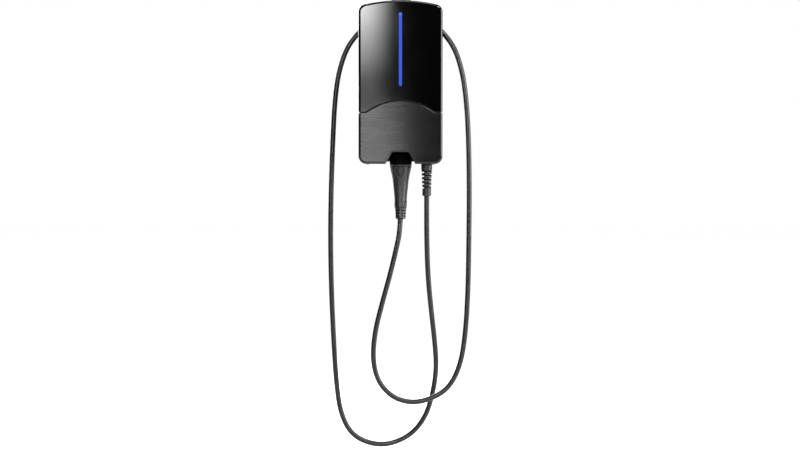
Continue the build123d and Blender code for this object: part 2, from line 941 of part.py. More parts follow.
with BuildPart() as electronics_lid:
    extrude(rim_face(lid_depth, True, lid_inset), amount=lid_wall)
    with BuildSketch(at_depth(lid_depth)) as upper_holes:
        with Locations(*upper_lid_points()):
            Circle(lid_screw_radius + screw_fit)
    extrude(upper_holes.sketch, amount=lid_wall, mode=Mode.SUBTRACT)
    # raised frame that keeps the light board in place
    room_length = light_length + 2 * led_frame_gap
    room_width = led_board_width + 2 * led_frame_gap
    frame_outside = light_face(lid_front, room_length + 2 * lid_wall, room_width + 2 * lid_wall)
    extrude(frame_outside, amount=led_board_wall)
    frame_inside = light_face(lid_front, room_length, room_width)
    extrude(frame_inside, amount=led_board_wall, mode=Mode.SUBTRACT)
electronics_lid.part.label = "electronics_lid"
export_step(electronics_lid.part, "parts/electronics_lid.step")

with BuildPart() as terminal_lid:
    extrude(rim_face(lid_depth, False, lid_inset), amount=lid_wall)
    with BuildSketch(at_depth(lid_depth)) as lower_holes:
        with Locations(*lower_lid_points()):
            Circle(lid_screw_radius + screw_fit)
    extrude(lower_holes.sketch, amount=lid_wall, mode=Mode.SUBTRACT)
terminal_lid.part.label = "terminal_lid"
export_step(terminal_lid.part, "parts/terminal_lid.step")


# Flat seals on the housing's rim, in the middle of its wall
def seal_ring(upper):
    margin = (housing_wall - seal_width) / 2
    with BuildPart() as ring:
        extrude(rim_face(rim_depth, upper, margin), amount=seal_thickness)
        with BuildSketch(at_depth(rim_depth)) as middle:
            add(rim_face(0, upper, margin))
            offset(amount=-seal_width)
        extrude(middle.sketch, amount=seal_thickness, mode=Mode.SUBTRACT)
    return ring.part


with BuildPart() as electronics_seal:
    add(seal_ring(True))
electronics_seal.part.label = "electronics_seal"
export_step(electronics_seal.part, "parts/electronics_seal.step")

with BuildPart() as terminal_seal:
    add(seal_ring(False))
terminal_seal.part.label = "terminal_seal"
export_step(terminal_seal.part, "parts/terminal_seal.step")

with BuildPart() as lid_screws:
    add(screws(at_depth(lid_front), lid_boss_points(), lid_screw_radius, lid_screw_length))
lid_screws.part.label = "lid_screws"
export_step(lid_screws.part, "parts/lid_screws.step")

# Screws through the lower cover's bottom
with BuildPart() as cover_screws:
    cover_seat = Plane(origin=(0, 0, cover_bottom), x_dir=(1, 0, 0), z_dir=(0, 0, -1))
    points = [(x, -y) for x, y in cover_screw_points]
    add(screws(cover_seat, points, cover_screw_radius, cover_screw_length))
cover_screws.part.label = "cover_screws"
export_step(cover_screws.part, "parts/cover_screws.step")

# Light board with a row of lamps behind the light bar
with BuildPart() as light_board:
    extrude(light_face(lid_front, light_length, led_board_width), amount=led_board_wall)
light_board.part.label = "light_board"
export_step(light_board.part, "parts/light_board.step")

with BuildPart() as light_lamps:
    with BuildSketch(at_depth(lid_front + led_board_wall)) as lamps:
        with Locations((0, light_middle)):
            with GridLocations(led_pitch, led_pitch, 1, led_count):
                Rectangle(led_size, led_size)
    extrude(lamps.sketch, amount=led_height)
light_lamps.part.label = "light_lamps"
export_step(light_lamps.part, "parts/light_lamps.step")

# Main board on its standoffs, above the plug's recess
with BuildPart() as main_board:
    with BuildSketch(at_depth(board_depth)) as board:
        with Locations((0, board_bottom)):
            Rectangle(board_width, board_height, align=(Align.CENTER, Align.MIN))
        fillet(board.vertices(), board_corner_radius)
        with Locations(*standoff_points()):
            Circle(board_screw_radius + screw_fit, mode=Mode.SUBTRACT)
    extrude(board.sketch, amount=board_wall)
main_board.part.label = "main_board"
export_step(main_board.part, "parts/main_board.step")

with BuildPart() as board_screws:
    add(screws(at_depth(board_front), standoff_points(), board_screw_radius, board_screw_length))
board_screws.part.label = "board_screws"
export_step(board_screws.part, "parts/board_screws.step")


# A place on the main board, from shares of its width and height
def board_place(shares):
    return (shares[0] * board_width, board_middle + shares[1] * board_height)


# Corners of a rectangle round a place
def corner_places(middle, pitch_x, pitch_z):
    xs = row_places(middle[0], pitch_x, 2)
    levels = row_places(middle[1], pitch_z, 2)
    return [(x, level) for x in xs for level in levels]


# Block on the main board, with rounded upright edges
def board_block(points, width, height, depth, radius):
    with BuildPart() as block:
        with BuildSketch(at_depth(board_front)) as base:
            with Locations(*points):
                RectangleRounded(width, height, radius)
        extrude(base.sketch, amount=depth)
    return block.part


relay_points = corner_places(board_place(relay_place_shares), relay_pitch_x, relay_pitch_z)
with BuildPart() as main_relays:
    add(board_block(relay_points, relay_width, relay_height, relay_depth, block_radius))
main_relays.part.label = "main_relays"
export_step(main_relays.part, "parts/main_relays.step")

with BuildPart() as power_supply:
    power_point = board_place(power_place_shares)
    add(board_block([power_point], power_width, power_height, power_depth, block_radius))
power_supply.part.label = "power_supply"
export_step(power_supply.part, "parts/power_supply.step")

with BuildPart() as capacitors:
    with BuildSketch(at_depth(board_front)) as cans:
        middle = board_place(capacitor_place_shares)
        for x in row_places(middle[0], capacitor_pitch, capacitor_count):
            with Locations((x, middle[1])):
                Circle(capacitor_radius)
    extrude(cans.sketch, amount=capacitor_depth)
    fillet(capacitors.edges().group_by(Axis.Y)[0], block_radius)
capacitors.part.label = "capacitors"
export_step(capacitors.part, "parts/capacitors.step")

# Ring sensor for fault currents, with the round hole that the live wires go through
with BuildPart() as current_sensor:
    with BuildSketch(at_depth(board_front)) as ring:
        with Locations(board_place(sensor_place_shares)):
            Circle(sensor_radius)
            Circle(sensor_hole_radius, mode=Mode.SUBTRACT)
    extrude(ring.sketch, amount=sensor_depth)
    fillet(current_sensor.edges().group_by(Axis.Y)[0], block_radius)
current_sensor.part.label = "current_sensor"
export_step(current_sensor.part, "parts/current_sensor.step")

# Control board on four spacers over the main board, with its radio module
control_point = board_place(control_place_shares)
control_corners = corner_places(control_point, control_pitch_x, control_pitch_z)
with BuildPart() as board_spacers:
    with BuildSketch(at_depth(board_front)) as spacers:
        with Locations(*control_corners):
            RegularPolygon(spacer_radius, 6)
    extrude(spacers.sketch, amount=spacer_height)
board_spacers.part.label = "board_spacers"
export_step(board_spacers.part, "parts/board_spacers.step")

with BuildPart() as control_board:
    with BuildSketch(at_depth(control_depth)) as card:
        with Locations(control_point):
            margin = 2 * spacer_radius
            RectangleRounded(control_pitch_x + margin, control_pitch_z + margin, block_radius)
    extrude(card.sketch, amount=board_wall)
control_board.part.label = "control_board"
export_step(control_board.part, "parts/control_board.step")

with BuildPart() as radio_module:
    with BuildSketch(at_depth(control_depth + board_wall)) as can:
        with Locations(control_point):
            RectangleRounded(radio_width, radio_height, can_radius)
    extrude(can.sketch, amount=radio_depth)
radio_module.part.label = "radio_module"
export_step(radio_module.part, "parts/radio_module.step")

# Network socket that opens downwards
socket_point = board_place(socket_place_shares)
with BuildPart() as network_socket:
    add(board_block([socket_point], socket_width, socket_height, socket_depth, socket_radius))
    with BuildSketch(at_level(socket_point[1] - socket_height / 2)) as mouth:
        with Locations((socket_point[0], -board_front - socket_depth / 2)):
            Rectangle(socket_width - 2 * socket_wall, socket_depth - 2 * socket_wall)
    extrude(mouth.sketch, amount=socket_height - socket_wall, mode=Mode.SUBTRACT)
network_socket.part.label = "network_socket"
export_step(network_socket.part, "parts/network_socket.step")


# Terminal block: one body with a wire funnel below and a screw well in front for each way
def terminal_block(middle, ways):
    width = ways * way_pitch + 2 * way_wall
    places = row_places(middle[0], way_pitch, ways)
    funnel_points = [(x, -board_front - terminal_depth / 2) for x in places]
    screw_points = [(x, middle[1]) for x in places]
    with BuildPart() as block:
        add(board_block([middle], width, terminal_height, terminal_depth, way_wall))
        with BuildSketch(at_level(middle[1] - terminal_height / 2)) as funnels:
            with Locations(*funnel_points):
                Circle(funnel_radius)
        extrude(funnels.sketch, amount=funnel_depth, mode=Mode.SUBTRACT)
        with BuildSketch(at_depth(board_front + terminal_depth)) as wells:
            with Locations(*screw_points):
                Circle(terminal_screw_radius * screw_head_radius_share + screw_fit)
        extrude(wells.sketch, amount=-well_depth, mode=Mode.SUBTRACT)
        with BuildSketch(at_depth(board_front + terminal_depth)) as pilots:
            with Locations(*screw_points):
                Circle(terminal_screw_radius + screw_fit)
        extrude(pilots.sketch, amount=-well_depth - terminal_screw_length, mode=Mode.SUBTRACT)
    return block.part


supply_middle = board_place((supply_side_share, terminal_level_share))
cable_middle = board_place((cable_side_share, terminal_level_share))
with BuildPart() as supply_terminals:
    add(terminal_block(supply_middle, supply_ways))
supply_terminals.part.label = "supply_terminals"
export_step(supply_terminals.part, "parts/supply_terminals.step")

with BuildPart() as cable_terminals:
    add(terminal_block(cable_middle, cable_ways))
cable_terminals.part.label = "cable_terminals"
export_step(cable_terminals.part, "parts/cable_terminals.step")

with BuildPart() as terminal_screws:
    places = row_places(supply_middle[0], way_pitch, supply_ways)
    places = places + row_places(cable_middle[0], way_pitch, cable_ways)
    seat = at_depth(board_front + terminal_depth - well_depth)
    points = [(x, cable_middle[1]) for x in places]
    add(screws(seat, points, terminal_screw_radius, terminal_screw_length))
terminal_screws.part.label = "terminal_screws"
export_step(terminal_screws.part, "parts/terminal_screws.step")

# Cable gland: threaded body through the bottom wall, lock nut inside, seal ring round the cable
def gland_tube(level, height, radius, bore):
    with BuildPart() as tube:
        with BuildSketch(at_level(level)) as ring:
            with Locations((gland_x, -gland_depth)):
                Circle(radius)
                if bore:
                    Circle(bore, mode=Mode.SUBTRACT)
        extrude(ring.sketch, amount=height)
    return tube.part


with BuildPart() as gland_body:
    add(gland_tube(tray_bottom, gland_thread_length, gland_thread_radius, gland_bore))
    with BuildSketch(at_level(tray_bottom - flange_height)) as flange:
        with Locations((gland_x, -gland_depth)):
            RegularPolygon(gland_flange_radius, 6)
            Circle(gland_bore, mode=Mode.SUBTRACT)
    extrude(flange.sketch, amount=flange_height)
    add(gland_tube(stub_level, stub_height, stub_radius, gland_bore))
    add(gland_tube(stub_level, seal_seat_height, seal_seat_radius, 0), mode=Mode.SUBTRACT)
gland_body.part.label = "gland_body"
export_step(gland_body.part, "parts/gland_body.step")

with BuildPart() as gland_seal:
    seal_bore = cable_diameter / 2 + screw_fit
    add(gland_tube(stub_level, seal_seat_height, seal_seat_radius - screw_fit, seal_bore))
gland_seal.part.label = "gland_seal"
export_step(gland_seal.part, "parts/gland_seal.step")

with BuildPart() as gland_nut:
    with BuildSketch(at_level(inner_bottom)) as nut:
        with Locations((gland_x, -gland_depth)):
            RegularPolygon(gland_nut_radius, 6)
            Circle(gland_thread_radius + screw_fit, mode=Mode.SUBTRACT)
    extrude(nut.sketch, amount=gland_nut_height)
gland_nut.part.label = "gland_nut"
export_step(gland_nut.part, "parts/gland_nut.step")

# Dome nut with the spiral that keeps the cable from kinking, moulded in one piece:
# a fluted collar, a tapering wall with a helical slot and a smooth end collar
with BuildPart() as bend_spiral:
    with BuildSketch(at_depth(gland_depth)) as wall:
        with BuildLine():
            Polyline(
                (gland_x + gland_bore, dome_end),
                (gland_x + end_collar_radius - end_collar_chamfer, dome_end),
                (gland_x + end_collar_radius, dome_end + end_collar_chamfer),
                (gland_x + end_collar_radius, spiral_end),
                (gland_x + spiral_bottom_radius, spiral_end),
                (gland_x + spiral_top_radius, spiral_top),
                (gland_x + collar_radius, spiral_top),
                (gland_x + collar_radius, collar_top),
                (gland_x + stub_radius + cable_fit, collar_top),
                (gland_x + stub_radius + cable_fit, stub_level),
                (gland_x + gland_bore, stub_level),
                close=True,
            )
        make_face()
    revolve(wall.sketch, axis=Axis((gland_x, -gland_depth, 0), (0, 0, 1)))
    with BuildSketch(at_level(spiral_top)) as flutes:
        with Locations((gland_x, -gland_depth)):
            with PolarLocations(collar_radius + flute_radius / 2, collar_flutes):
                Circle(flute_radius)
    extrude(flutes.sketch, amount=collar_height - 2 * flute_radius, mode=Mode.SUBTRACT)
    slot_start = (gland_x, -gland_depth, spiral_end + spiral_slot)
    with BuildLine() as slot_path:
        Helix(spiral_pitch, spiral_length - 2 * spiral_slot, spiral_top_radius, center=slot_start)
    slot_plane = Plane(origin=slot_path.line @ 0, x_dir=(1, 0, 0), z_dir=slot_path.line % 0)
    with BuildSketch(slot_plane) as slot:
        Rectangle(2 * (spiral_top_radius - gland_bore + cut_over), spiral_slot)
    sweep(slot.sketch, path=slot_path.line, is_frenet=True, mode=Mode.SUBTRACT)
bend_spiral.part.label = "bend_spiral"
export_step(bend_spiral.part, "parts/bend_spiral.step")
print("bend_spiral", bend_spiral.part.volume, len(bend_spiral.solids()), bend_spiral.part.is_valid)

# Inner end of the cable, from the gland's seal to where its sheath is stripped
with BuildPart() as cable_end:
    add(gland_tube(stub_level, sheath_end - stub_level, cable_diameter / 2, 0))
cable_end.part.label = "cable_end"
export_step(cable_end.part, "parts/cable_end.step")

# Cores from the stripped end up to the terminals
core_targets = row_places(cable_middle[0], way_pitch, cable_ways)
core_circle = PolarLocations(core_circle_radius, cable_ways, start_angle=360 / cable_ways / 2)
core_starts = [place.position for place in core_circle.local_locations]
core_starts.sort(key=lambda spot: spot.X + spot.Y)
terminal_mouth = cable_middle[1] - terminal_height / 2
with BuildPart() as cable_cores:
    for start, target in zip(core_starts, core_targets):
        start_x = gland_x + start.X
        start_y = start.Y - gland_depth
        end_y = -board_front - terminal_depth / 2
        # the cores bend one above the other, the one that has the longest way highest
        bend_level = sheath_end + core_rise + core_rise_share * (start.X - start.Y)
        with BuildLine() as core_path:
            FilletPolyline(
                (start_x, start_y, sheath_end),
                (start_x, start_y, bend_level),
                (target, end_y, terminal_mouth - core_straight),
                (target, end_y, terminal_mouth + funnel_depth),
                radius=core_bend_radius,
            )
        with BuildSketch(Plane(origin=core_path.line @ 0, z_dir=(0, 0, 1))) as core:
            Circle(core_radius)
        sweep(core.sketch, path=core_path.line)
cable_cores.part.label = "cable_cores"
export_step(cable_cores.part, "parts/cable_cores.step")
print("cable_cores", len(cable_cores.solids()))

# Saddle over the cable with its two screws
with BuildPart() as cable_clamp:
    with BuildSketch(at_level(clamp_level - clamp_width / 2)) as saddle:
        with Locations((gland_x, -gland_depth)):
            Circle(cable_diameter / 2 + clamp_wall)
            rear = 2 * cable_diameter
            Rectangle(rear, rear, align=(Align.CENTER, Align.MIN), mode=Mode.SUBTRACT)
        with Locations((gland_x, -gland_depth)):
            ears = 2 * (clamp_screw_offset + clamp_boss_radius)
            Rectangle(ears, clamp_wall, align=(Align.CENTER, Align.MAX))
            Circle(cable_diameter / 2 + screw_fit, mode=Mode.SUBTRACT)
    extrude(saddle.sketch, amount=clamp_width)
    with BuildSketch(at_depth(gland_depth)) as ear_holes:
        with Locations(*clamp_screw_points):
            Circle(clamp_screw_radius + screw_fit)
    extrude(ear_holes.sketch, amount=clamp_wall, mode=Mode.SUBTRACT)
cable_clamp.part.label = "cable_clamp"
export_step(cable_clamp.part, "parts/cable_clamp.step")

with BuildPart() as clamp_screws:
    seat = at_depth(gland_depth + clamp_wall)
    add(screws(seat, clamp_screw_points, clamp_screw_radius, clamp_screw_length))
clamp_screws.part.label = "clamp_screws"
export_step(clamp_screws.part, "parts/clamp_screws.step")


# Rubber grommet in the bottom wall, with a lip on both sides of it
def grommet(x, depth, hole_radius, bore_radius):
    lip_level = tray_bottom - grommet_lip
    with BuildPart() as rubber:
        with BuildSketch(at_level(lip_level)) as outside:
            with Locations((x, -depth)):
                Circle(hole_radius + grommet_lip)
        extrude(outside.sketch, amount=grommet_lip)
        fillet(rubber.edges().group_by(Axis.Z)[0], grommet_lip / 2)
        with BuildSketch(at_level(tray_bottom)) as neck:
            with Locations((x, -depth)):
                Circle(hole_radius - screw_fit)
        extrude(neck.sketch, amount=housing_wall)
        with BuildSketch(at_level(inner_bottom)) as inside:
            with Locations((x, -depth)):
                Circle(hole_radius + grommet_lip / 2)
        extrude(inside.sketch, amount=grommet_height - grommet_lip - housing_wall)
        if bore_radius:
            with BuildSketch(at_level(lip_level)) as bore:
                with Locations((x, -depth)):
                    Circle(bore_radius)
            extrude(bore.sketch, amount=grommet_height, mode=Mode.SUBTRACT)
    return rubber.part


with BuildPart() as supply_grommet:
    add(grommet(-entry_x, entry_depth, supply_hole_radius, supply_bore_radius))
supply_grommet.part.label = "supply_grommet"
export_step(supply_grommet.part, "parts/supply_grommet.step")

with BuildPart() as data_plug:
    add(grommet(entry_x, entry_depth, data_hole_radius, 0))
data_plug.part.label = "data_plug"
export_step(data_plug.part, "parts/data_plug.step")

# Holster cup for the parked plug
flange_level = alcove_top - holster_flange_wall
with BuildPart() as plug_holster:
    extrude(nose_face(flange_level, holster_fit + holster_wall), amount=holster_height)
    with BuildSketch(at_level(flange_level)) as flange:
        with Locations((0, -plug_depth)):
            RectangleRounded(holster_flange_width, holster_flange_length, holster_corner_radius)
    extrude(flange.sketch, amount=holster_flange_wall)
    cup_depth = holster_height - holster_wall
    extrude(nose_face(flange_level, holster_fit), amount=cup_depth, mode=Mode.SUBTRACT)
    with BuildSketch(at_level(flange_level)) as flange_holes:
        with Locations(*holster_screw_points):
            Circle(holster_screw_radius + screw_fit)
    extrude(flange_holes.sketch, amount=holster_flange_wall, mode=Mode.SUBTRACT)
plug_holster.part.label = "plug_holster"
export_step(plug_holster.part, "parts/plug_holster.step")

with BuildPart() as holster_screws:
    seat = Plane(origin=(0, 0, flange_level), x_dir=(1, 0, 0), z_dir=(0, 0, -1))
    points = [(x, -y) for x, y in holster_screw_points]
    add(screws(seat, points, holster_screw_radius, holster_screw_length))
holster_screws.part.label = "holster_screws"
export_step(holster_screws.part, "parts/holster_screws.step")

# Nose of the plug with its collar, one moulding: a sleeve round the contacts on a wide shoulder
with BuildPart() as plug_nose:
    with BuildSketch(at_depth(plug_depth)) as collar:
        with BuildLine():
            Polyline(
                (0, shoulder_level),
                (collar_top_radius, shoulder_level),
                (collar_wide_radius, shoulder_level - collar_slope),
                (collar_end_radius, collar_end),
                (collar_end_radius - shell_wall, collar_end),
                (collar_wide_radius - shell_wall, shoulder_level - collar_slope),
                (collar_top_radius - shell_wall, nose_floor),
                (0, nose_floor),
                close=True,
            )
        make_face()
        fillet(collar.vertices().group_by(Axis.X)[-1], nose_corner_radius)
    revolve(collar.sketch, axis=Axis((0, -plug_depth, 0), (0, 0, 1)))
    extrude(nose_face(shoulder_level, 0), amount=nose_length)
    fillet(plug_nose.edges().group_by(Axis.Z)[-1], nose_edge_radius)
    extrude(nose_face(shoulder_level, -nose_wall), amount=nose_length, mode=Mode.SUBTRACT)
plug_nose.part.label = "plug_nose"
export_step(plug_nose.part, "parts/plug_nose.step")


# Places of a row of contacts, a row gap behind the plug's middle
def contact_row(pitch, count, row_gap):
    return [(x, row_gap - plug_depth) for x in row_places(0, pitch, count)]


power_points = contact_row(power_pitch, power_front_count, 0)
power_points = power_points + contact_row(power_rear_pitch, power_rear_count, power_row_gap)
signal_points = contact_row(signal_pitch, signal_count, -signal_row_gap)

# Insulating carrier with a bore for each contact
with BuildPart() as contact_carrier:
    extrude(nose_face(shoulder_level, -nose_wall - carrier_gap), amount=carrier_height)
    fillet(contact_carrier.edges().group_by(Axis.Z)[-1], nose_edge_radius)
    with BuildSketch(at_level(shoulder_level)) as bores:
        with Locations(*power_points):
            Circle(power_radius + contact_fit)
        with Locations(*signal_points):
            Circle(signal_radius + contact_fit)
    extrude(bores.sketch, amount=carrier_height, mode=Mode.SUBTRACT)
contact_carrier.part.label = "contact_carrier"
export_step(contact_carrier.part, "parts/contact_carrier.step")


# Contact sleeves that stand on the collar's floor
def contact_sleeves(points, radius, bore):
    with BuildPart() as sleeves:
        with BuildSketch(at_level(shoulder_level)) as rings:
            with Locations(*points):
                Circle(radius)
        extrude(rings.sketch, amount=contact_length)
        with BuildSketch(at_level(shoulder_level + contact_length)) as holes:
            with Locations(*points):
                Circle(bore)
        extrude(holes.sketch, amount=radius - contact_length, mode=Mode.SUBTRACT)
    return sleeves.part


with BuildPart() as power_contacts:
    add(contact_sleeves(power_points, power_radius, power_bore))
power_contacts.part.label = "power_contacts"
export_step(power_contacts.part, "parts/power_contacts.step")

with BuildPart() as signal_contacts:
    add(contact_sleeves(signal_points, signal_radius, signal_bore))
signal_contacts.part.label = "signal_contacts"
export_step(signal_contacts.part, "parts/signal_contacts.step")

with BuildPart() as plug_seal:
    extrude(nose_face(shoulder_level, -nose_wall - contact_fit), amount=plug_seal_height)
    extrude(
        nose_face(shoulder_level, -nose_wall - carrier_gap + contact_fit),
        amount=plug_seal_height,
        mode=Mode.SUBTRACT,
    )
plug_seal.part.label = "plug_seal"
export_step(plug_seal.part, "parts/plug_seal.step")


# Place and direction of the handle's middle line: it leans forwards more and more
def handle_plane(share):
    drop = collar_end - share * handle_length
    lean = handle_lean * share**2
    slope = 2 * handle_lean * share / handle_length
    return Plane(
        origin=(0, -plug_depth - lean, drop),
        x_dir=(1, 0, 0),
        z_dir=(0, -slope, -1),
    )


# Loft through the handle's oval sections, each smaller all round by inset
def handle_form(inset):
    sections = []
    for share, width_share, thickness_share in handle_section_shares:
        with BuildSketch(handle_plane(share)) as section:
            half_width = handle_width * width_share / 2 - inset
            Ellipse(half_width, handle_thickness * thickness_share / 2 - inset)
        sections.append(section.sketch)
    with BuildPart() as form:
        loft(sections)
    return form.part


# Front panel's outline, grown by grow, from the handle's middle forwards
def panel_prism(grow):
    top = collar_end - panel_margin + grow
    bottom = collar_end - handle_length + panel_margin - grow
    with BuildSketch(at_depth(plug_depth + panel_margin)) as outline:
        with BuildLine():
            Polyline(
                (-panel_top_half - grow, top),
                (panel_top_half + grow, top),
                (panel_bottom_half + grow, bottom),
                (-panel_bottom_half - grow, bottom),
                close=True,
            )
        make_face()
        fillet(outline.vertices(), panel_corner_radius + grow)
    with BuildPart() as prism:
        extrude(outline.sketch, amount=handle_thickness)
    return prism.part


plug_screw_points = [
    (side_share * handle_width / 2, collar_end - drop_share * handle_length)
    for side_share, drop_share in plug_screw_place_shares
]
with BuildPart() as plug_shell:
    add(handle_form(0))
    add(handle_form(shell_wall), mode=Mode.SUBTRACT)
    # bosses for the two screws
    with BuildSketch(at_depth(plug_depth - handle_thickness / 2)) as plug_bosses:
        with Locations(*plug_screw_points):
            Circle(plug_boss_radius)
    with BuildPart(mode=Mode.PRIVATE) as boss_posts:
        extrude(plug_bosses.sketch, amount=2 * handle_thickness)
        add(handle_form(0), mode=Mode.INTERSECT)
    add(boss_posts.part)
    # window for the front panel, with a ledge that carries the panel's edge
    with BuildPart(mode=Mode.PRIVATE) as panel_seat:
        add(panel_prism(panel_groove / 2))
        add(handle_form(panel_wall + panel_fit), mode=Mode.SUBTRACT)
    add(panel_seat.part, mode=Mode.SUBTRACT)
    add(panel_prism(-panel_groove / 2 - panel_lap), mode=Mode.SUBTRACT)
    with BuildSketch(at_depth(plug_depth + plug_screw_seat)) as screw_wells:
        with Locations(*plug_screw_points):
            Circle(plug_screw_well)
    extrude(screw_wells.sketch, amount=handle_thickness, mode=Mode.SUBTRACT)
    with BuildSketch(at_depth(plug_depth + plug_screw_seat)) as screw_pilots:
        with Locations(*plug_screw_points):
            Circle(plug_screw_radius + screw_fit)
    extrude(screw_pilots.sketch, amount=-plug_screw_length, mode=Mode.SUBTRACT)
plug_shell.part.label = "plug_shell"
export_step(plug_shell.part, "parts/plug_shell.step")
print("plug_shell", plug_shell.part.volume, len(plug_shell.solids()))

# Front panel of the handle, let into the shell, with a drop-shaped hollow for the thumb
with BuildPart() as plug_panel:
    add(handle_form(0))
    add(handle_form(panel_wall), mode=Mode.SUBTRACT)
    add(panel_prism(-panel_groove / 2), mode=Mode.INTERSECT)
    with BuildSketch(at_depth(plug_depth)) as thumb:
        with BuildLine():
            thumb_level = collar_end - thumb_drop
            drop_tip = (0, thumb_level - thumb_point)
            left = (-thumb_radius, thumb_level)
            right = (thumb_radius, thumb_level)
            ThreePointArc(left, (0, thumb_level + thumb_radius), right)
            Spline(right, drop_tip, tangents=((0, -1), (-1, -1)))
            Spline(drop_tip, left, tangents=((-1, 1), (0, 1)))
        make_face()
    with BuildPart(mode=Mode.PRIVATE) as thumb_hollow:
        extrude(thumb.sketch, amount=handle_thickness)
        add(handle_form(thumb_depth), mode=Mode.SUBTRACT)
    add(thumb_hollow.part, mode=Mode.SUBTRACT)
plug_panel.part.label = "plug_panel"
export_step(plug_panel.part, "parts/plug_panel.step")
print("plug_panel", plug_panel.part.volume, len(plug_panel.solids()))

with BuildPart() as plug_screws:
    seat = at_depth(plug_depth + plug_screw_seat)
    add(screws(seat, plug_screw_points, plug_screw_radius, plug_screw_length))
plug_screws.part.label = "plug_screws"
export_step(plug_screws.part, "parts/plug_screws.step")

# Strain relief at the handle's end: a tapering sleeve with rows of slots between four spines
relief_plane = handle_plane(1)
with BuildPart() as plug_relief:
    with BuildSketch(relief_plane) as relief_top:
        Circle(relief_top_radius)
    with BuildSketch(relief_plane.offset(relief_length)) as relief_bottom:
        Circle(relief_end_radius)
    loft([relief_top.sketch, relief_bottom.sketch])
    with BuildSketch(relief_plane) as spigot:
        Circle(relief_spigot_radius)
    extrude(spigot.sketch, amount=-relief_spigot)
    with BuildSketch(relief_plane.offset(-relief_spigot)) as relief_hole:
        Circle(relief_bore)
    extrude(relief_hole.sketch, amount=relief_spigot + relief_length, mode=Mode.SUBTRACT)
    for row in range(relief_rows):
        drop = relief_first_row + row * relief_row_pitch
        with BuildSketch(relief_plane.offset(drop)) as slots:
            Circle(relief_top_radius + cut_over)
            Circle(relief_bore + relief_core, mode=Mode.SUBTRACT)
            Rectangle(relief_spine, 4 * relief_top_radius, mode=Mode.SUBTRACT)
            Rectangle(4 * relief_top_radius, relief_side_spine, mode=Mode.SUBTRACT)
        extrude(slots.sketch, amount=relief_slot, mode=Mode.SUBTRACT)
plug_relief.part.label = "plug_relief"
export_step(plug_relief.part, "parts/plug_relief.step")
print("plug_relief", plug_relief.part.volume, len(plug_relief.solids()))

# Ring that clamps the cable inside the handle
with BuildPart() as plug_clamp:
    with BuildSketch(relief_plane.offset(-relief_spigot)) as clamp_ring:
        Circle(clamp_ring_radius)
        Circle(cable_diameter / 2 + screw_fit, mode=Mode.SUBTRACT)
    extrude(clamp_ring.sketch, amount=-clamp_ring_height)
plug_clamp.part.label = "plug_clamp"
export_step(plug_clamp.part, "parts/plug_clamp.step")
cable_far_end = relief_plane.offset(-relief_spigot - clamp_ring_height)
print("cable far end", cable_far_end.origin, cable_far_end.z_dir)

# Charging cable: out of the gland and down, up the left side, over the housing's drum, down the
# right side, round a small loop in front of its first strand, and up into the plug
cable_start = (gland_x, -gland_depth, stub_level)
cable_outlet = (gland_x, -gland_depth, dome_end - outlet_run)
far_end = cable_far_end.origin
before_plug = relief_plane.offset(relief_length + 2 * cable_diameter).origin
cable_points = [
    cable_start,
    cable_outlet,
    (70, -76, -412),
    (73, -66, -520),
    (82, -55, -616),
    (92, -46, -704),
    (97, -41, -776),
    (86, -37, -853),
    (64, -34, -918),
    (20, -31, -968),
    (-54, -30, -994),
    (-130, -29, -969),
    (-165, -27, -906),
    (-177, -26, -818),
    (-184, -25, -700),
    (-190, -25, -560),
    (-192, -26, -405),
    (-189, -27, -262),
    (-184, -28, -140),
    (-179, -30, -48),
    (-168, -32, 32),
    (-140, -33, 108),
    (-78, -33, 167),
    (0, -33, 182),
    (78, -33, 167),
    (138, -34, 108),
    (164, -36, 38),
    (177, -39, -50),
    (183, -43, -160),
    (185, -47, -290),
    (184, -52, -430),
    (182, -57, -560),
    (176, -62, -672),
    (163, -68, -762),
    (132, -72, -826),
    (84, -74, -856),
    (30, -76, -868),
    (-23, -78, -852),
    (-62, -80, -808),
    (-76, -83, -747),
    (-69, -87, -670),
    (-49, -91, -592),
    (-29, -93, -520),
    (-15, -93, -462),
    tuple(before_plug),
    tuple(far_end),
]


# Radius of the arc at a corner: as large as its two runs allow
def bend_radius(before, corner, after):
    first = Vector(*corner) - Vector(*before)
    second = Vector(*after) - Vector(*corner)
    run = min(first.length, second.length)
    turn = math.radians(first.get_angle(second))
    return bend_run_share * run / math.tan(turn / 2)


triples = zip(cable_points, cable_points[1:], cable_points[2:])
cable_radii = [bend_radius(*triple) for triple in triples]
print("cable radii", [round(radius) for radius in cable_radii])
with BuildPart() as charging_cable:
    with BuildLine() as cable_path:
        FilletPolyline(*cable_points, radius=cable_radii)
    with BuildSketch(Plane(origin=cable_path.line @ 0, z_dir=cable_path.line % 0)) as sheath:
        Circle(cable_diameter / 2)
    sweep(sheath.sketch, path=cable_path.line)
charging_cable.part.label = "charging_cable"
export_step(charging_cable.part, "parts/charging_cable.step")
cable_length = sum(edge.length for edge in cable_path.edges())
print("cable length", cable_length)
print("cable volume", charging_cable.part.volume, sheath.sketch.area * cable_length)
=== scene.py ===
import math

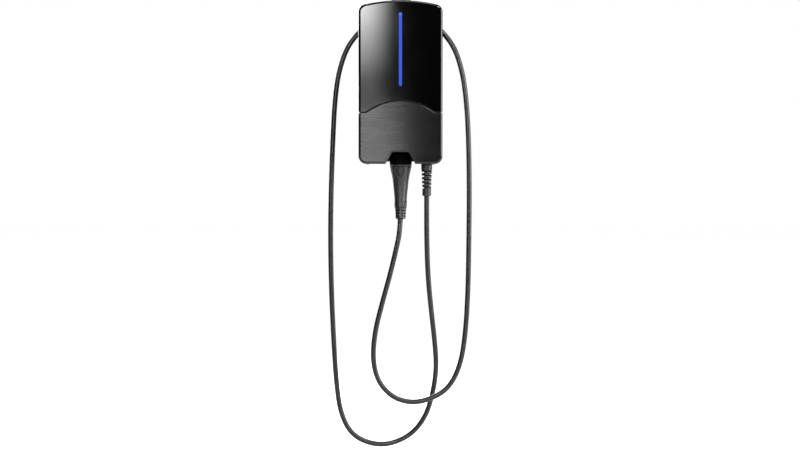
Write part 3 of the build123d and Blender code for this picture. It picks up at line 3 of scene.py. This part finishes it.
import bpy
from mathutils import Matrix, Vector


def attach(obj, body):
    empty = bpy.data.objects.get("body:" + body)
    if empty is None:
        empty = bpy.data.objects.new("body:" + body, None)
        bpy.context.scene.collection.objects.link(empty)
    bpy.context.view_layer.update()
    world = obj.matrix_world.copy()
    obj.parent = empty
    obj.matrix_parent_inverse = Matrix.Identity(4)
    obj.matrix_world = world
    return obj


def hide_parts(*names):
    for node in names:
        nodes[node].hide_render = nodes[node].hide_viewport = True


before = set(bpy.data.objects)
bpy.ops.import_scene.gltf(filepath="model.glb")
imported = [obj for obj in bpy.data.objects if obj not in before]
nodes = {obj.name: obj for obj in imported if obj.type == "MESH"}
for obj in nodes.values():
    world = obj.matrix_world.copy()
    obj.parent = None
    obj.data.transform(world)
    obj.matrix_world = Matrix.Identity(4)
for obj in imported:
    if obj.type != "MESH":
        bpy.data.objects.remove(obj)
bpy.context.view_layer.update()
bpy.ops.object.select_all(action="DESELECT")   # load leaves the CAD nodes selected
print("stage: frame loaded")


def hexColour(text):
    # sRGB hex to the linear values that the shaders work in
    values = []
    for start in (1, 3, 5):
        share = int(text[start:start + 2], 16) / 255
        values.append(share / 12.92 if share <= 0.04045 else ((share + 0.055) / 1.055) ** 2.4)
    return (*values, 1)


def addNode(tree, kind, inputs=None, **settings):
    # one node with its settings; an input is a value, or the socket of another node
    node = tree.nodes.new(kind)
    for name, value in settings.items():
        setattr(node, name, value)
    for name, value in (inputs or {}).items():
        if isinstance(value, bpy.types.NodeSocket):
            tree.links.new(value, node.inputs[name])
        else:
            node.inputs[name].default_value = value
    return node


# Camera: the photo was taken from a long way off, a little from above and from the right
camera = {
    "target": (-0.001, -0.116, -0.3814),
    "distance": 6.5,
    "toRight": 0.02,       # how far from the right, as a slope
    "upwards": 0.07,       # how far from above, as a slope
    "metresPerPixel": 0.002679,
    "imageWidth": 800,
    "sensor": 36,          # mm
    "sight": 60,           # how far it sees
}


def makeCamera():
    lookAt = Vector(camera["target"])
    away = Vector((camera["toRight"], -1, camera["upwards"])) * camera["distance"]
    data = bpy.data.cameras.new("photoCamera")
    data.sensor_width = camera["sensor"]
    data.lens = camera["sensor"] * away.length / (camera["imageWidth"] * camera["metresPerPixel"])
    data.clip_end = camera["sight"]
    eye = bpy.data.objects.new("photoCamera", data)
    bpy.context.scene.collection.objects.link(eye)
    eye.location = lookAt + away
    eye.rotation_euler = (-away).to_track_quat("-Z", "Y").to_euler()
    bpy.context.scene.camera = eye


makeCamera()
print("stage: camera")

# Charging cable: the route of the CAD tube, in metres, as the control points of one smooth line.
# It hangs from the gland, goes up at the left, over the drum, down at the right and up to the plug
cable = {
    "diameter": 0.014,
    "length": 3.99,
    "exit": (0.07, -0.078, -0.2264),
    "steps": 14,           # between two points of the route
    "roundness": 12,
    "route": [
        (0.07, -0.078, -0.2264),
        (0.07, -0.078, -0.318),
        (0.07, -0.076, -0.412),
        (0.073, -0.066, -0.52),
        (0.082, -0.055, -0.616),
        (0.092, -0.046, -0.704),
        (0.097, -0.041, -0.776),
        (0.086, -0.037, -0.853),
        (0.064, -0.034, -0.918),
        (0.02, -0.031, -0.968),
        (-0.054, -0.03, -0.994),
        (-0.13, -0.029, -0.969),
        (-0.165, -0.027, -0.906),
        (-0.177, -0.026, -0.818),
        (-0.184, -0.025, -0.7),
        (-0.19, -0.025, -0.56),
        (-0.192, -0.026, -0.405),
        (-0.189, -0.027, -0.262),
        (-0.184, -0.028, -0.14),
        (-0.179, -0.03, -0.048),
        (-0.168, -0.032, 0.032),
        (-0.14, -0.033, 0.108),
        (-0.078, -0.033, 0.167),
        (0.0, -0.033, 0.182),
        (0.078, -0.033, 0.167),
        (0.138, -0.034, 0.108),
        (0.164, -0.036, 0.038),
        (0.177, -0.039, -0.05),
        (0.183, -0.043, -0.16),
        (0.185, -0.047, -0.29),
        (0.184, -0.052, -0.43),
        (0.182, -0.057, -0.56),
        (0.176, -0.062, -0.672),
        (0.163, -0.068, -0.762),
        (0.132, -0.072, -0.826),
        (0.084, -0.074, -0.856),
        (0.03, -0.076, -0.868),
        (-0.023, -0.078, -0.852),
        (-0.062, -0.08, -0.808),
        (-0.076, -0.083, -0.747),
        (-0.069, -0.087, -0.67),
        (-0.049, -0.091, -0.592),
        (-0.029, -0.093, -0.52),
        (-0.015, -0.093, -0.462),
        (0.0, -0.0907, -0.3939),
        (0.0, -0.07686, -0.32481),
    ],
}


def makeCable():
    data = bpy.data.curves.new("chargingCable", "CURVE")
    data.dimensions = "3D"
    data.resolution_u = cable["steps"]
    line = data.splines.new("NURBS")
    line.points.add(len(cable["route"]) - 1)
    for point, place in zip(line.points, cable["route"]):
        point.co = (*place, 1)
        point.radius = cable["diameter"] / 2   # the curve's box reaches this far round each point
    line.order_u = 3
    line.use_endpoint_u = True
    data.bevel_depth = 1
    data.bevel_resolution = cable["roundness"]
    data.use_fill_caps = True
    tube = bpy.data.objects.new("chargingCable", data)
    bpy.context.scene.collection.objects.link(tube)
    return tube


chargingCable = makeCable()
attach(chargingCable, "root")
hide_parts("charging_cable")
print("stage: cable")


def bareMaterial(name):
    material = bpy.data.materials.new(name)
    material.use_nodes = True
    tree = material.node_tree
    tree.nodes.clear()
    output = addNode(tree, "ShaderNodeOutputMaterial")
    place = addNode(tree, "ShaderNodeTexCoord").outputs["Object"]
    return material, tree, output, place


def startMaterial(name):
    material, tree, output, place = bareMaterial(name)
    shader = addNode(tree, "ShaderNodeBsdfPrincipled")
    tree.links.new(shader.outputs["BSDF"], output.inputs["Surface"])
    return material, tree, shader, place


def scaledPlace(tree, place, size):
    # object coordinates divided by a pattern's size in millimetres along X, Y and Z
    scale = tuple(1000 / length for length in size)
    return addNode(tree, "ShaderNodeMapping", {"Vector": place, "Scale": scale}).outputs["Vector"]


def grain(tree, place, size, detail=2.0, roughness=0.5):
    where = scaledPlace(tree, place, size)
    noise = addNode(tree, "ShaderNodeTexNoise",
                    {"Vector": where, "Scale": 1.0, "Detail": detail, "Roughness": roughness})
    return noise.outputs["Fac"]


def times(tree, first, second):
    return addNode(tree, "ShaderNodeMath", {0: first, 1: second}, operation="MULTIPLY").outputs[0]


def between(tree, share, low, high, fromLow=0.3, fromHigh=0.7):
    # from low to high while share goes over its range, by default the middle one of a noise
    node = addNode(tree, "ShaderNodeMapRange",
                   {"Value": share, "From Min": fromLow, "From Max": fromHigh,
                    "To Min": low, "To Max": high})
    return node.outputs["Result"]


def around(tree, share, middle, spread=0.15):
    # strays from the middle to both sides by the spread, a share of it
    return between(tree, share, middle * (1 - spread), middle * (1 + spread))


def blendColours(tree, share, first, second):
    mix = addNode(tree, "ShaderNodeMix", {0: share, 6: hexColour(first), 7: hexColour(second)},
                  data_type="RGBA")
    return mix.outputs[2]


def bumpFrom(tree, height, depth):
    # depth in metres
    return addNode(tree, "ShaderNodeBump",
                   {"Height": height, "Distance": depth, "Strength": 1.0}).outputs["Normal"]


# Painted shade: slots, grooves and close corners, as ambient occlusion finds them, are painted
# nearly black and made dull
creviceShade = {
    "colour": "#020202",
    "open": (0.55, 0.92),      # openness at which a face is all hollow and all open
    "samples": 6,
    "dullest": 0.02,           # shine that is left in them
}


def paintCreviceShade(tree, colour, reach):
    # reach in mm; painted shade: the colour goes to near black where other faces come closer than
    # the reach
    openness = addNode(tree, "ShaderNodeAmbientOcclusion", {"Distance": reach / 1000},
                       samples=creviceShade["samples"])
    share = between(tree, openness.outputs["AO"], 0, 1, *creviceShade["open"])
    mix = addNode(tree, "ShaderNodeMix", {0: share, 6: hexColour(creviceShade["colour"]), 7: colour},
                  data_type="RGBA")
    return mix.outputs[2], share


def roughHollows(tree, openShare, rough):
    return addNode(tree, "ShaderNodeMix", {0: openShare, 2: 1.0, 3: rough}).outputs[0]


# High-gloss acrylic over black: deep black with a sharp, faintly wavy reflection
glossCover = {
    "colour": "#040405",
    "ior": 1.49,
    "roughness": 0.1,
    "smudgeSize": (60, 60, 90),     # faint wipe marks, in mm
    "waveSize": (9, 9, 9),          # orange peel of a moulded gloss face, in mm
    "waveDepth": 0.000004,
}


def glossAcrylic():
    material, tree, shader, place = startMaterial("blackGlossAcrylic")
    shader.inputs["Base Color"].default_value = hexColour(glossCover["colour"])
    shader.inputs["IOR"].default_value = glossCover["ior"]
    smudge = grain(tree, place, glossCover["smudgeSize"], detail=3)
    rough = around(tree, smudge, glossCover["roughness"])
    tree.links.new(rough, shader.inputs["Roughness"])
    wave = grain(tree, place, glossCover["waveSize"], detail=1)
    tree.links.new(bumpFrom(tree, wave, glossCover["waveDepth"]), shader.inputs["Normal"])
    return material


# Moulded ABS with a fine brushed look: satin dark grey with short level streaks, painted lighter on
# the left and fainter to the right as a painted reflection
brushedCover = {
    "dark": "#101011",
    "light": "#3d3d40",
    "ior": 1.53,
    "streakSize": (50, 50, 2.2),   # a streak's length and height, drawn wider than the real 0.3 mm
    "patchSize": (90, 90, 40),     # where the streaks come in groups, in mm
    "marked": (0.2, 0.38),         # how strong both together are for no streak and a full one
    "sheenFadeAcross": (-40, 30),       # mm; painted reflection: the lighter streaks are full left of the first and down to this right of the second
    "sheenRightShare": 0.12,              # down to this right of the second
    "roughness": (0.17, 0.22),
    "depth": 0.000012,
}


def brushedAbs():
    material, tree, shader, place = startMaterial("brushedSatinAbs")
    shader.inputs["IOR"].default_value = brushedCover["ior"]
    streak = grain(tree, place, brushedCover["streakSize"])
    patch = grain(tree, place, brushedCover["patchSize"])
    both = times(tree, streak, patch)
    across = addNode(tree, "ShaderNodeSeparateXYZ", {"Vector": place}).outputs["X"]
    # painted reflection: the lighter streaks fade from left to right across the cover
    left, right = (value / 1000 for value in brushedCover["sheenFadeAcross"])
    paintedSheenShare = between(tree, across, 1.0, brushedCover["sheenRightShare"], left, right)
    share = times(tree, between(tree, both, 0, 1, *brushedCover["marked"]), paintedSheenShare)
    colour = blendColours(tree, share, brushedCover["dark"], brushedCover["light"])
    tree.links.new(colour, shader.inputs["Base Color"])
    tree.links.new(between(tree, streak, *brushedCover["roughness"]), shader.inputs["Roughness"])
    tree.links.new(bumpFrom(tree, streak, brushedCover["depth"]), shader.inputs["Normal"])
    return material


# Frosted polycarbonate lit from behind: an even blue that deepens towards its long edges
lightBar = {
    "middle": "#3058d2",
    "edge": "#2238b0",
    "tip": "#5b78ea",
    "unlit": "#0a1238",
    "halfWidth": 4.65,     # mm
    "darkFrom": 0.45,      # share of the half width where the edge colour starts
    "top": 186,            # mm above the origin
    "tipLength": 12,
    "glow": 0.9,
    "roughness": 0.5,
    "shine": 0.25,
}


def frostedLight():
    material, tree, shader, place = startMaterial("frostedPolycarbonateLit")
    split = addNode(tree, "ShaderNodeSeparateXYZ", {"Vector": place})
    side = addNode(tree, "ShaderNodeMath", {0: split.outputs["X"]}, operation="ABSOLUTE").outputs[0]
    half = lightBar["halfWidth"] / 1000
    edgeShare = between(tree, side, 0, 1, half * lightBar["darkFrom"], half)
    body = blendColours(tree, edgeShare, lightBar["middle"], lightBar["edge"])
    top = lightBar["top"] / 1000
    tipStart = top - lightBar["tipLength"] / 1000
    tipShare = between(tree, split.outputs["Z"], 0, 1, tipStart, top)
    colour = addNode(tree, "ShaderNodeMix", {0: tipShare, 6: body, 7: hexColour(lightBar["tip"])},
                     data_type="RGBA").outputs[2]
    shader.inputs["Base Color"].default_value = hexColour(lightBar["unlit"])
    shader.inputs["Roughness"].default_value = lightBar["roughness"]
    shader.inputs["Specular IOR Level"].default_value = lightBar["shine"]
    tree.links.new(colour, shader.inputs["Emission Color"])
    shader.inputs["Emission Strength"].default_value = lightBar["glow"]
    return material


cloudSize = (70, 70, 70)    # mm, how far apart a moulded piece is a little lighter and darker


# A moulded plastic or rubber: a fine eroded grain scatters its shine; with a shade reach given,
# corners closer than that many millimetres get painted shade, near black and dull
def mouldedPlastic(name, dark, light, roughness, grainSize, depth, ior=1.5, shine=0.5,
                   shadeReach=0):
    material, tree, shader, place = startMaterial(name)
    shader.inputs["IOR"].default_value = ior
    shader.inputs["Specular IOR Level"].default_value = shine
    fine = grain(tree, place, (grainSize, grainSize, grainSize))
    broad = grain(tree, place, cloudSize, detail=3)
    colour = blendColours(tree, between(tree, broad, 0, 1), dark, light)
    rough = around(tree, fine, roughness)
    if shadeReach:
        colour, openShare = paintCreviceShade(tree, colour, shadeReach)
        rough = roughHollows(tree, openShare, rough)
        dull = between(tree, openShare, creviceShade["dullest"], shine, 0, 1)
        tree.links.new(dull, shader.inputs["Specular IOR Level"])
    tree.links.new(colour, shader.inputs["Base Color"])
    tree.links.new(rough, shader.inputs["Roughness"])
    tree.links.new(bumpFrom(tree, fine, depth), shader.inputs["Normal"])
    return material


# Metals: fine scratches break up their shine
def metal(name, dark, light, roughness, scratchSize, depth):
    material, tree, shader, place = startMaterial(name)
    shader.inputs["Metallic"].default_value = 1.0
    lines = grain(tree, place, scratchSize, detail=3)
    colour = blendColours(tree, between(tree, lines, 0, 1), dark, light)
    tree.links.new(colour, shader.inputs["Base Color"])
    rough = around(tree, lines, roughness, spread=0.2)
    tree.links.new(rough, shader.inputs["Roughness"])
    tree.links.new(bumpFrom(tree, lines, depth), shader.inputs["Normal"])
    return material


# Extruded polyurethane sheath: satin grey-black, a little cloudy, with a soft shine along it, and
# painted shade where other faces come close
sheath = {
    "dark": "#171718",
    "light": "#222223",
    "ior": 1.5,
    "roughness": 0.36,
    "shine": 0.6,
    "cloudSize": (40, 40, 60),     # mm
    "grainSize": (0.8, 0.8, 0.8),
    "grainDepth": 0.00001,
    "shadeReach": 12,
}


def cableSheath():
    material, tree, shader, place = startMaterial("extrudedPolyurethane")
    broad = grain(tree, place, sheath["cloudSize"], detail=3)
    colour = blendColours(tree, between(tree, broad, 0, 1), sheath["dark"], sheath["light"])
    # painted shade: near black where the cable lies close to other faces
    colour, openShare = paintCreviceShade(tree, colour, sheath["shadeReach"])
    tree.links.new(colour, shader.inputs["Base Color"])
    rough = around(tree, broad, sheath["roughness"], spread=0.1)
    tree.links.new(roughHollows(tree, openShare, rough), shader.inputs["Roughness"])
    shader.inputs["IOR"].default_value = sheath["ior"]
    shader.inputs["Specular IOR Level"].default_value = sheath["shine"]
    fine = grain(tree, place, sheath["grainSize"], detail=1)
    tree.links.new(bumpFrom(tree, fine, sheath["grainDepth"]), shader.inputs["Normal"])
    return material


# Spiral of glass-filled polyamide: grey crests, with painted shade that makes the slots between
# them near black
spiral = {
    "crest": "#303031",
    "slot": "#050505",
    "axis": (0.07, -0.078),    # metres
    "ends": (-0.294, -0.234),  # heights between which it widens, in metres
    "crestRadii": (0.0117, 0.0143),
    "slotted": (0.91, 1.0),    # shares of that radius where the slot ends and the crest starts
    "roughness": 0.34,
    "shine": 0.6,
    "grainSize": (1.1, 1.1, 1.1),  # mm
    "grainDepth": 0.00003,
    "shadeReach": 8,
}


def slotShadedPolyamide():
    material, tree, shader, place = startMaterial("slotShadedPolyamide")
    centred = addNode(tree, "ShaderNodeVectorMath",
                      {0: place, 1: (*spiral["axis"], 0)}, operation="SUBTRACT").outputs[0]
    flat = addNode(tree, "ShaderNodeVectorMath", {0: centred, 1: (1, 1, 0)},
                   operation="MULTIPLY").outputs[0]
    radius = addNode(tree, "ShaderNodeVectorMath", {0: flat}, operation="LENGTH").outputs["Value"]
    height = addNode(tree, "ShaderNodeSeparateXYZ", {"Vector": place}).outputs["Z"]
    crest = between(tree, height, *spiral["crestRadii"], *spiral["ends"])
    # painted shade: the colour darkens from the crest into the slots, and close corners get painted
    # shade too
    depth = addNode(tree, "ShaderNodeMath", {0: radius, 1: crest}, operation="DIVIDE").outputs[0]
    share = between(tree, depth, 0, 1, *spiral["slotted"])
    colour = blendColours(tree, share, spiral["slot"], spiral["crest"])
    colour, openShare = paintCreviceShade(tree, colour, spiral["shadeReach"])
    tree.links.new(colour, shader.inputs["Base Color"])
    rough = between(tree, openShare, 1.0, spiral["roughness"], 0, 1)
    tree.links.new(rough, shader.inputs["Roughness"])
    dull = between(tree, share, creviceShade["dullest"], spiral["shine"], 0, 1)
    tree.links.new(dull, shader.inputs["Specular IOR Level"])
    fine = grain(tree, place, spiral["grainSize"])
    tree.links.new(bumpFrom(tree, fine, spiral["grainDepth"]), shader.inputs["Normal"])
    return material


# grain and scratch sizes in mm, depths in metres
finishes = {
    "gloss": glossAcrylic(),
    "brushed": brushedAbs(),
    "lit": frostedLight(),
    "sheath": cableSheath(),
    "spiral": slotShadedPolyamide(),
    # polycarbonate blend from a spark-eroded mould: dull black-grey
    "housing": mouldedPlastic("erodedPolycarbonate", "#1c1c1d", "#232324",
                              roughness=0.55, grainSize=1.2, depth=0.00004),
    # the same in grey, from a smoother mould: paler and a little shinier
    "lid": mouldedPlastic("plainPolycarbonate", "#3c3c3d", "#464647",
                          roughness=0.5, grainSize=1.2, depth=0.00003),
    # polyester powder coat: slight orange peel, soft shine
    "coat": mouldedPlastic("greyPowderCoat", "#5f6061", "#6a6b6c",
                           roughness=0.42, grainSize=1.6, depth=0.00006),
    # bright zinc: light grey with a broken shine
    "zinc": metal("zincPlatedSteel", "#9c9c9a", "#bcbcb8",
                  roughness=0.32, scratchSize=(3, 3, 3), depth=0.00001),
    # black passivation: the screws that show are dark with a dull metal shine
    "blackZinc": metal("blackZincSteel", "#1c1c1c", "#2a2a2a",
                       roughness=0.4, scratchSize=(3, 3, 3), depth=0.00001),
    # rolled sheet: pale, with fine level lines
    "tin": metal("tinnedSheet", "#b8b8b6", "#cfcfcc",
                 roughness=0.25, scratchSize=(12, 12, 1), depth=0.00001),
    # deep-drawn cans: pale and bluish, lines round them
    "aluminium": metal("drawnAluminium", "#c2c3c4", "#d8d9da",
                       roughness=0.3, scratchSize=(6, 6, 1), depth=0.00001),
    # turned pins: warm white, the brightest metal here
    "silver": metal("silverPlatedCopper", "#c9c0a6", "#ded8c4",
                    roughness=0.22, scratchSize=(2, 2, 6), depth=0.00001),
    # pressed seals: black and matt
    "rubber": mouldedPlastic("epdmRubber", "#121212", "#1a1a1a",
                             roughness=0.7, grainSize=1.0, depth=0.00003, ior=1.52),
    # glass fibres make the gland's skin satin; its tight corners get painted shade
    "polyamide": mouldedPlastic("glassFilledPolyamide", "#1a1a1b", "#232324",
                                roughness=0.36, grainSize=1.1, depth=0.00003, shadeReach=5),
    # the plug's grip: mid grey, leather-fine texture, with painted shade in its joints and ribs
    "plugGrey": mouldedPlastic("texturedPolyamide", "#343433", "#3d3d3c",
                               roughness=0.44, grainSize=0.9, depth=0.00003, shadeReach=12),
    # the plug's collar sits in the holster's shade, painted into its colour: near black with hardly
    # any shine, and painted shade in its corners
    "plugBlackInShade": mouldedPlastic("blackPolyamideInShade", "#040404", "#070707",
                                roughness=0.6, grainSize=0.9, depth=0.00002,
                                shine=0.02, shadeReach=20),
    # solder mask over glass and epoxy: deep green, half gloss
    "board": mouldedPlastic("glassEpoxyBoard", "#0b4a26", "#12592f",
                            roughness=0.35, grainSize=0.8, depth=0.00001, ior=1.55),
    # potted cases: black, half matt
    "component": mouldedPlastic("epoxyCase", "#161616", "#202020",
                                roughness=0.45, grainSize=0.8, depth=0.00001),
    # terminal blocks: light grey, half matt
    "terminal": mouldedPlastic("greyPolyamide", "#8d8f8c", "#9c9e9b",
                               roughness=0.45, grainSize=0.8, depth=0.00001),
    # milky yellow silicone over the light's chips
    "lamp": mouldedPlastic("phosphorSilicone", "#e6e0a8", "#f0ecc2",
                           roughness=0.4, grainSize=0.6, depth=0.00001),
}
print("stage: materials")

wears = {
    "gloss": ["upper_cover"],
    "brushed": ["lower_cover"],
    "lit": ["light_guide"],
    "sheath": ["cable_end", "cable_cores"],
    "housing": ["rear_housing", "plug_holster"],
    "lid": ["electronics_lid", "terminal_lid"],
    "coat": ["wall_bracket"],
    "zinc": ["bracket_lock_screw", "board_screws", "board_spacers", "terminal_screws",
             "cable_clamp", "clamp_screws", "plug_clamp"],
    "blackZinc": ["lid_screws", "cover_screws", "holster_screws", "plug_screws"],
    "tin": ["radio_module", "network_socket"],
    "aluminium": ["capacitors"],
    "silver": ["power_contacts", "signal_contacts"],
    "rubber": ["electronics_seal", "terminal_seal", "gland_seal", "supply_grommet", "data_plug",
               "plug_seal"],
    "polyamide": ["gland_body", "gland_nut"],
    "spiral": ["bend_spiral"],
    "plugGrey": ["plug_shell", "plug_panel", "plug_relief"],
    "plugBlackInShade": ["plug_nose", "contact_carrier"],
    "board": ["light_board", "main_board", "control_board"],
    "component": ["main_relays", "power_supply", "current_sensor"],
    "terminal": ["supply_terminals", "cable_terminals"],
    "lamp": ["light_lamps"],
}
for finish, names in wears.items():
    for name in names:
        slots = nodes[name].data.materials
        slots.clear()
        slots.append(finishes[finish])
chargingCable.data.materials.append(finishes["sheath"])
dressed = {name for names in wears.values() for name in names} | {"charging_cable"}
print("stage: finishes on the nodes, left over:", sorted(set(nodes) - dressed))

# Studio: white all round for the eye, soft lamps from the right, above and behind; metres and watts
studio = {
    "floorLevel": -1.25,
    "floorSize": 24,
    "floorColour": "#f4f4f4",
    "floorGlow": 0.88,             # lifts the lit floor to the backdrop's white for the eye
    "lamps": [
        # name, place, size, power, aimed at
        ("keyLamp", (3.2, -1.0, 0.4), 1.8, 120, (0, 0, -0.4)),
        ("frontLamp", (2.2, -3.0, 2.6), 1.3, 125, (0, 0, -0.3)),
        ("topLamp", (0.2, -0.8, 3.0), 1.6, 28, (0, -0.05, -0.3)),
        ("backLamp", (-1.2, 3.4, 1.0), 1.8, 70, (0, 0, -0.3)),
        ("leftLamp", (-1.7, 3.0, 0.6), 1.6, 60, (0, 0, -0.3)),
    ],
    "ambient": 0.11,
    "darkFront": 0.02,             # what gloss sees of the room in front of the object
    "glossBehind": (-0.4, 1.2),    # gloss sees the floor turn white between these, in metres
    "whiteFrom": (0.3, 0.85),      # and the world between these, as Y of its direction
}

# Boards in front of the object that only reflections see: soft-box light that fades to black
glossBoards = {
    "front": -3.1,             # where they stand
    "upper": {
        "middle": (0.5, 0.575),
        "size": (2.7, 1.45),
        "brightest": 23.5,
        "fade": (-0.62, -0.09),    # full left of the first and gone right of the second
        # height above the origin and share of the light there
        "shares": [(-0.15, 0.06), (-0.03, 0.06), (0.11, 0.42), (0.27, 1.0), (1.3, 1.0)],
    },
    "lower": {
        "middle": (0.5, -0.4),
        "size": (2.7, 0.5),
        "brightest": 5.0,
        "fade": (-0.3, 0.15),
        "shares": [(-0.65, 0.8), (-0.36, 1.0), (-0.25, 0.78), (-0.15, 0.45)],
    },
}


def showsBackdrop(tree):
    # rays that are to see the white backdrop: the camera's and those through glass, then gloss
    path = addNode(tree, "ShaderNodeLightPath")
    seen = addNode(tree, "ShaderNodeMath",
                   {0: path.outputs["Is Camera Ray"], 1: path.outputs["Is Transmission Ray"]},
                   operation="MAXIMUM").outputs[0]
    return seen, path.outputs["Is Glossy Ray"]


def makeFloor():
    bpy.ops.mesh.primitive_plane_add(size=studio["floorSize"],
                                     location=(0, 0, studio["floorLevel"]))
    floor = bpy.context.active_object
    floor.name = "studioFloor"
    bpy.ops.object.transform_apply(location=True, rotation=True, scale=True)
    material, tree, output, place = bareMaterial("paleStudioFloor")
    paint = addNode(tree, "ShaderNodeBsdfDiffuse", {"Color": hexColour(studio["floorColour"])})
    seen, glossy = showsBackdrop(tree)
    split = addNode(tree, "ShaderNodeSeparateXYZ", {"Vector": place})
    behind = between(tree, split.outputs["Y"], 0.0, 1.0, *studio["glossBehind"])
    both = addNode(tree, "ShaderNodeMath", {0: seen, 1: times(tree, glossy, behind)},
                   operation="MAXIMUM").outputs[0]
    strength = times(tree, both, studio["floorGlow"])
    glow = addNode(tree, "ShaderNodeEmission", {"Color": (1, 1, 1, 1), "Strength": strength})
    total = addNode(tree, "ShaderNodeAddShader", {0: paint.outputs[0], 1: glow.outputs[0]})
    tree.links.new(total.outputs[0], output.inputs["Surface"])
    floor.data.materials.append(material)
    floor.visible_diffuse = False      # no light thrown up under the object


def makeGlossBoard(name, values):
    across, up = values["middle"]
    bpy.ops.mesh.primitive_plane_add(size=1, location=(across, glossBoards["front"], up),
                                     rotation=(math.pi / 2, 0, 0))
    board = bpy.context.active_object
    board.name = name + "GlossBoard"
    board.scale = (*values["size"], 1)
    bpy.ops.object.transform_apply(location=True, rotation=True, scale=True)
    material, tree, output, place = bareMaterial(name + "GradedSoftBox")
    split = addNode(tree, "ShaderNodeSeparateXYZ", {"Vector": place})
    sideways = addNode(tree, "ShaderNodeMapRange",
                       {"Value": split.outputs["X"], "From Min": values["fade"][0],
                        "From Max": values["fade"][1], "To Min": 1.0, "To Max": 0.0},
                       interpolation_type="SMOOTHSTEP").outputs["Result"]
    low = up - values["size"][1] / 2
    high = up + values["size"][1] / 2
    along = between(tree, split.outputs["Z"], 0, 1, low, high)
    scale = addNode(tree, "ShaderNodeValToRGB", {"Fac": along})
    scale.color_ramp.interpolation = "EASE"
    stops = scale.color_ramp.elements
    for height, amount in values["shares"]:
        stop = stops.new((height - low) / (high - low))
        stop.color = (amount, amount, amount, 1)
    stops[0].color = stops[1].color
    stops[len(stops) - 1].color = stops[len(stops) - 2].color
    share = times(tree, sideways, scale.outputs["Color"])
    strength = times(tree, share, values["brightest"])
    glow = addNode(tree, "ShaderNodeEmission", {"Color": (1, 1, 1, 1), "Strength": strength})
    tree.links.new(glow.outputs[0], output.inputs["Surface"])
    board.data.materials.append(material)
    board.visible_camera = False
    board.visible_diffuse = False
    board.visible_shadow = False
    board.visible_transmission = False


def makeLamps():
    for name, place, size, power, aim in studio["lamps"]:
        data = bpy.data.lights.new(name, "AREA")
        data.shape = "SQUARE"
        data.size = size
        data.energy = power
        lamp = bpy.data.objects.new(name, data)
        bpy.context.scene.collection.objects.link(lamp)
        lamp.location = place
        lamp.rotation_euler = (Vector(aim) - Vector(place)).to_track_quat("-Z", "Y").to_euler()


def makeWorld():
    # white behind the object for the eye and for gloss, a dim room in front of it
    world = bpy.data.worlds.new("studioWorld")
    bpy.context.scene.world = world
    world.use_nodes = True
    tree = world.node_tree
    tree.nodes.clear()
    output = addNode(tree, "ShaderNodeOutputWorld")
    seen, glossy = showsBackdrop(tree)
    direction = addNode(tree, "ShaderNodeTexCoord").outputs["Generated"]
    split = addNode(tree, "ShaderNodeSeparateXYZ", {"Vector": direction})
    inGloss = between(tree, split.outputs["Y"], studio["darkFront"], 1.0, *studio["whiteFrom"])
    light = addNode(tree, "ShaderNodeMix", {0: glossy, 2: studio["ambient"], 3: inGloss}).outputs[0]
    strength = addNode(tree, "ShaderNodeMix", {0: seen, 2: light, 3: 1.0}).outputs[0]
    background = addNode(tree, "ShaderNodeBackground",
                         {"Color": (1, 1, 1, 1), "Strength": strength})
    tree.links.new(background.outputs[0], output.inputs["Surface"])


makeFloor()
for boardName in ("upper", "lower"):
    makeGlossBoard(boardName, glossBoards[boardName])
makeLamps()
makeWorld()
bpy.context.scene.view_settings.view_transform = "Standard"
print("stage: studio")
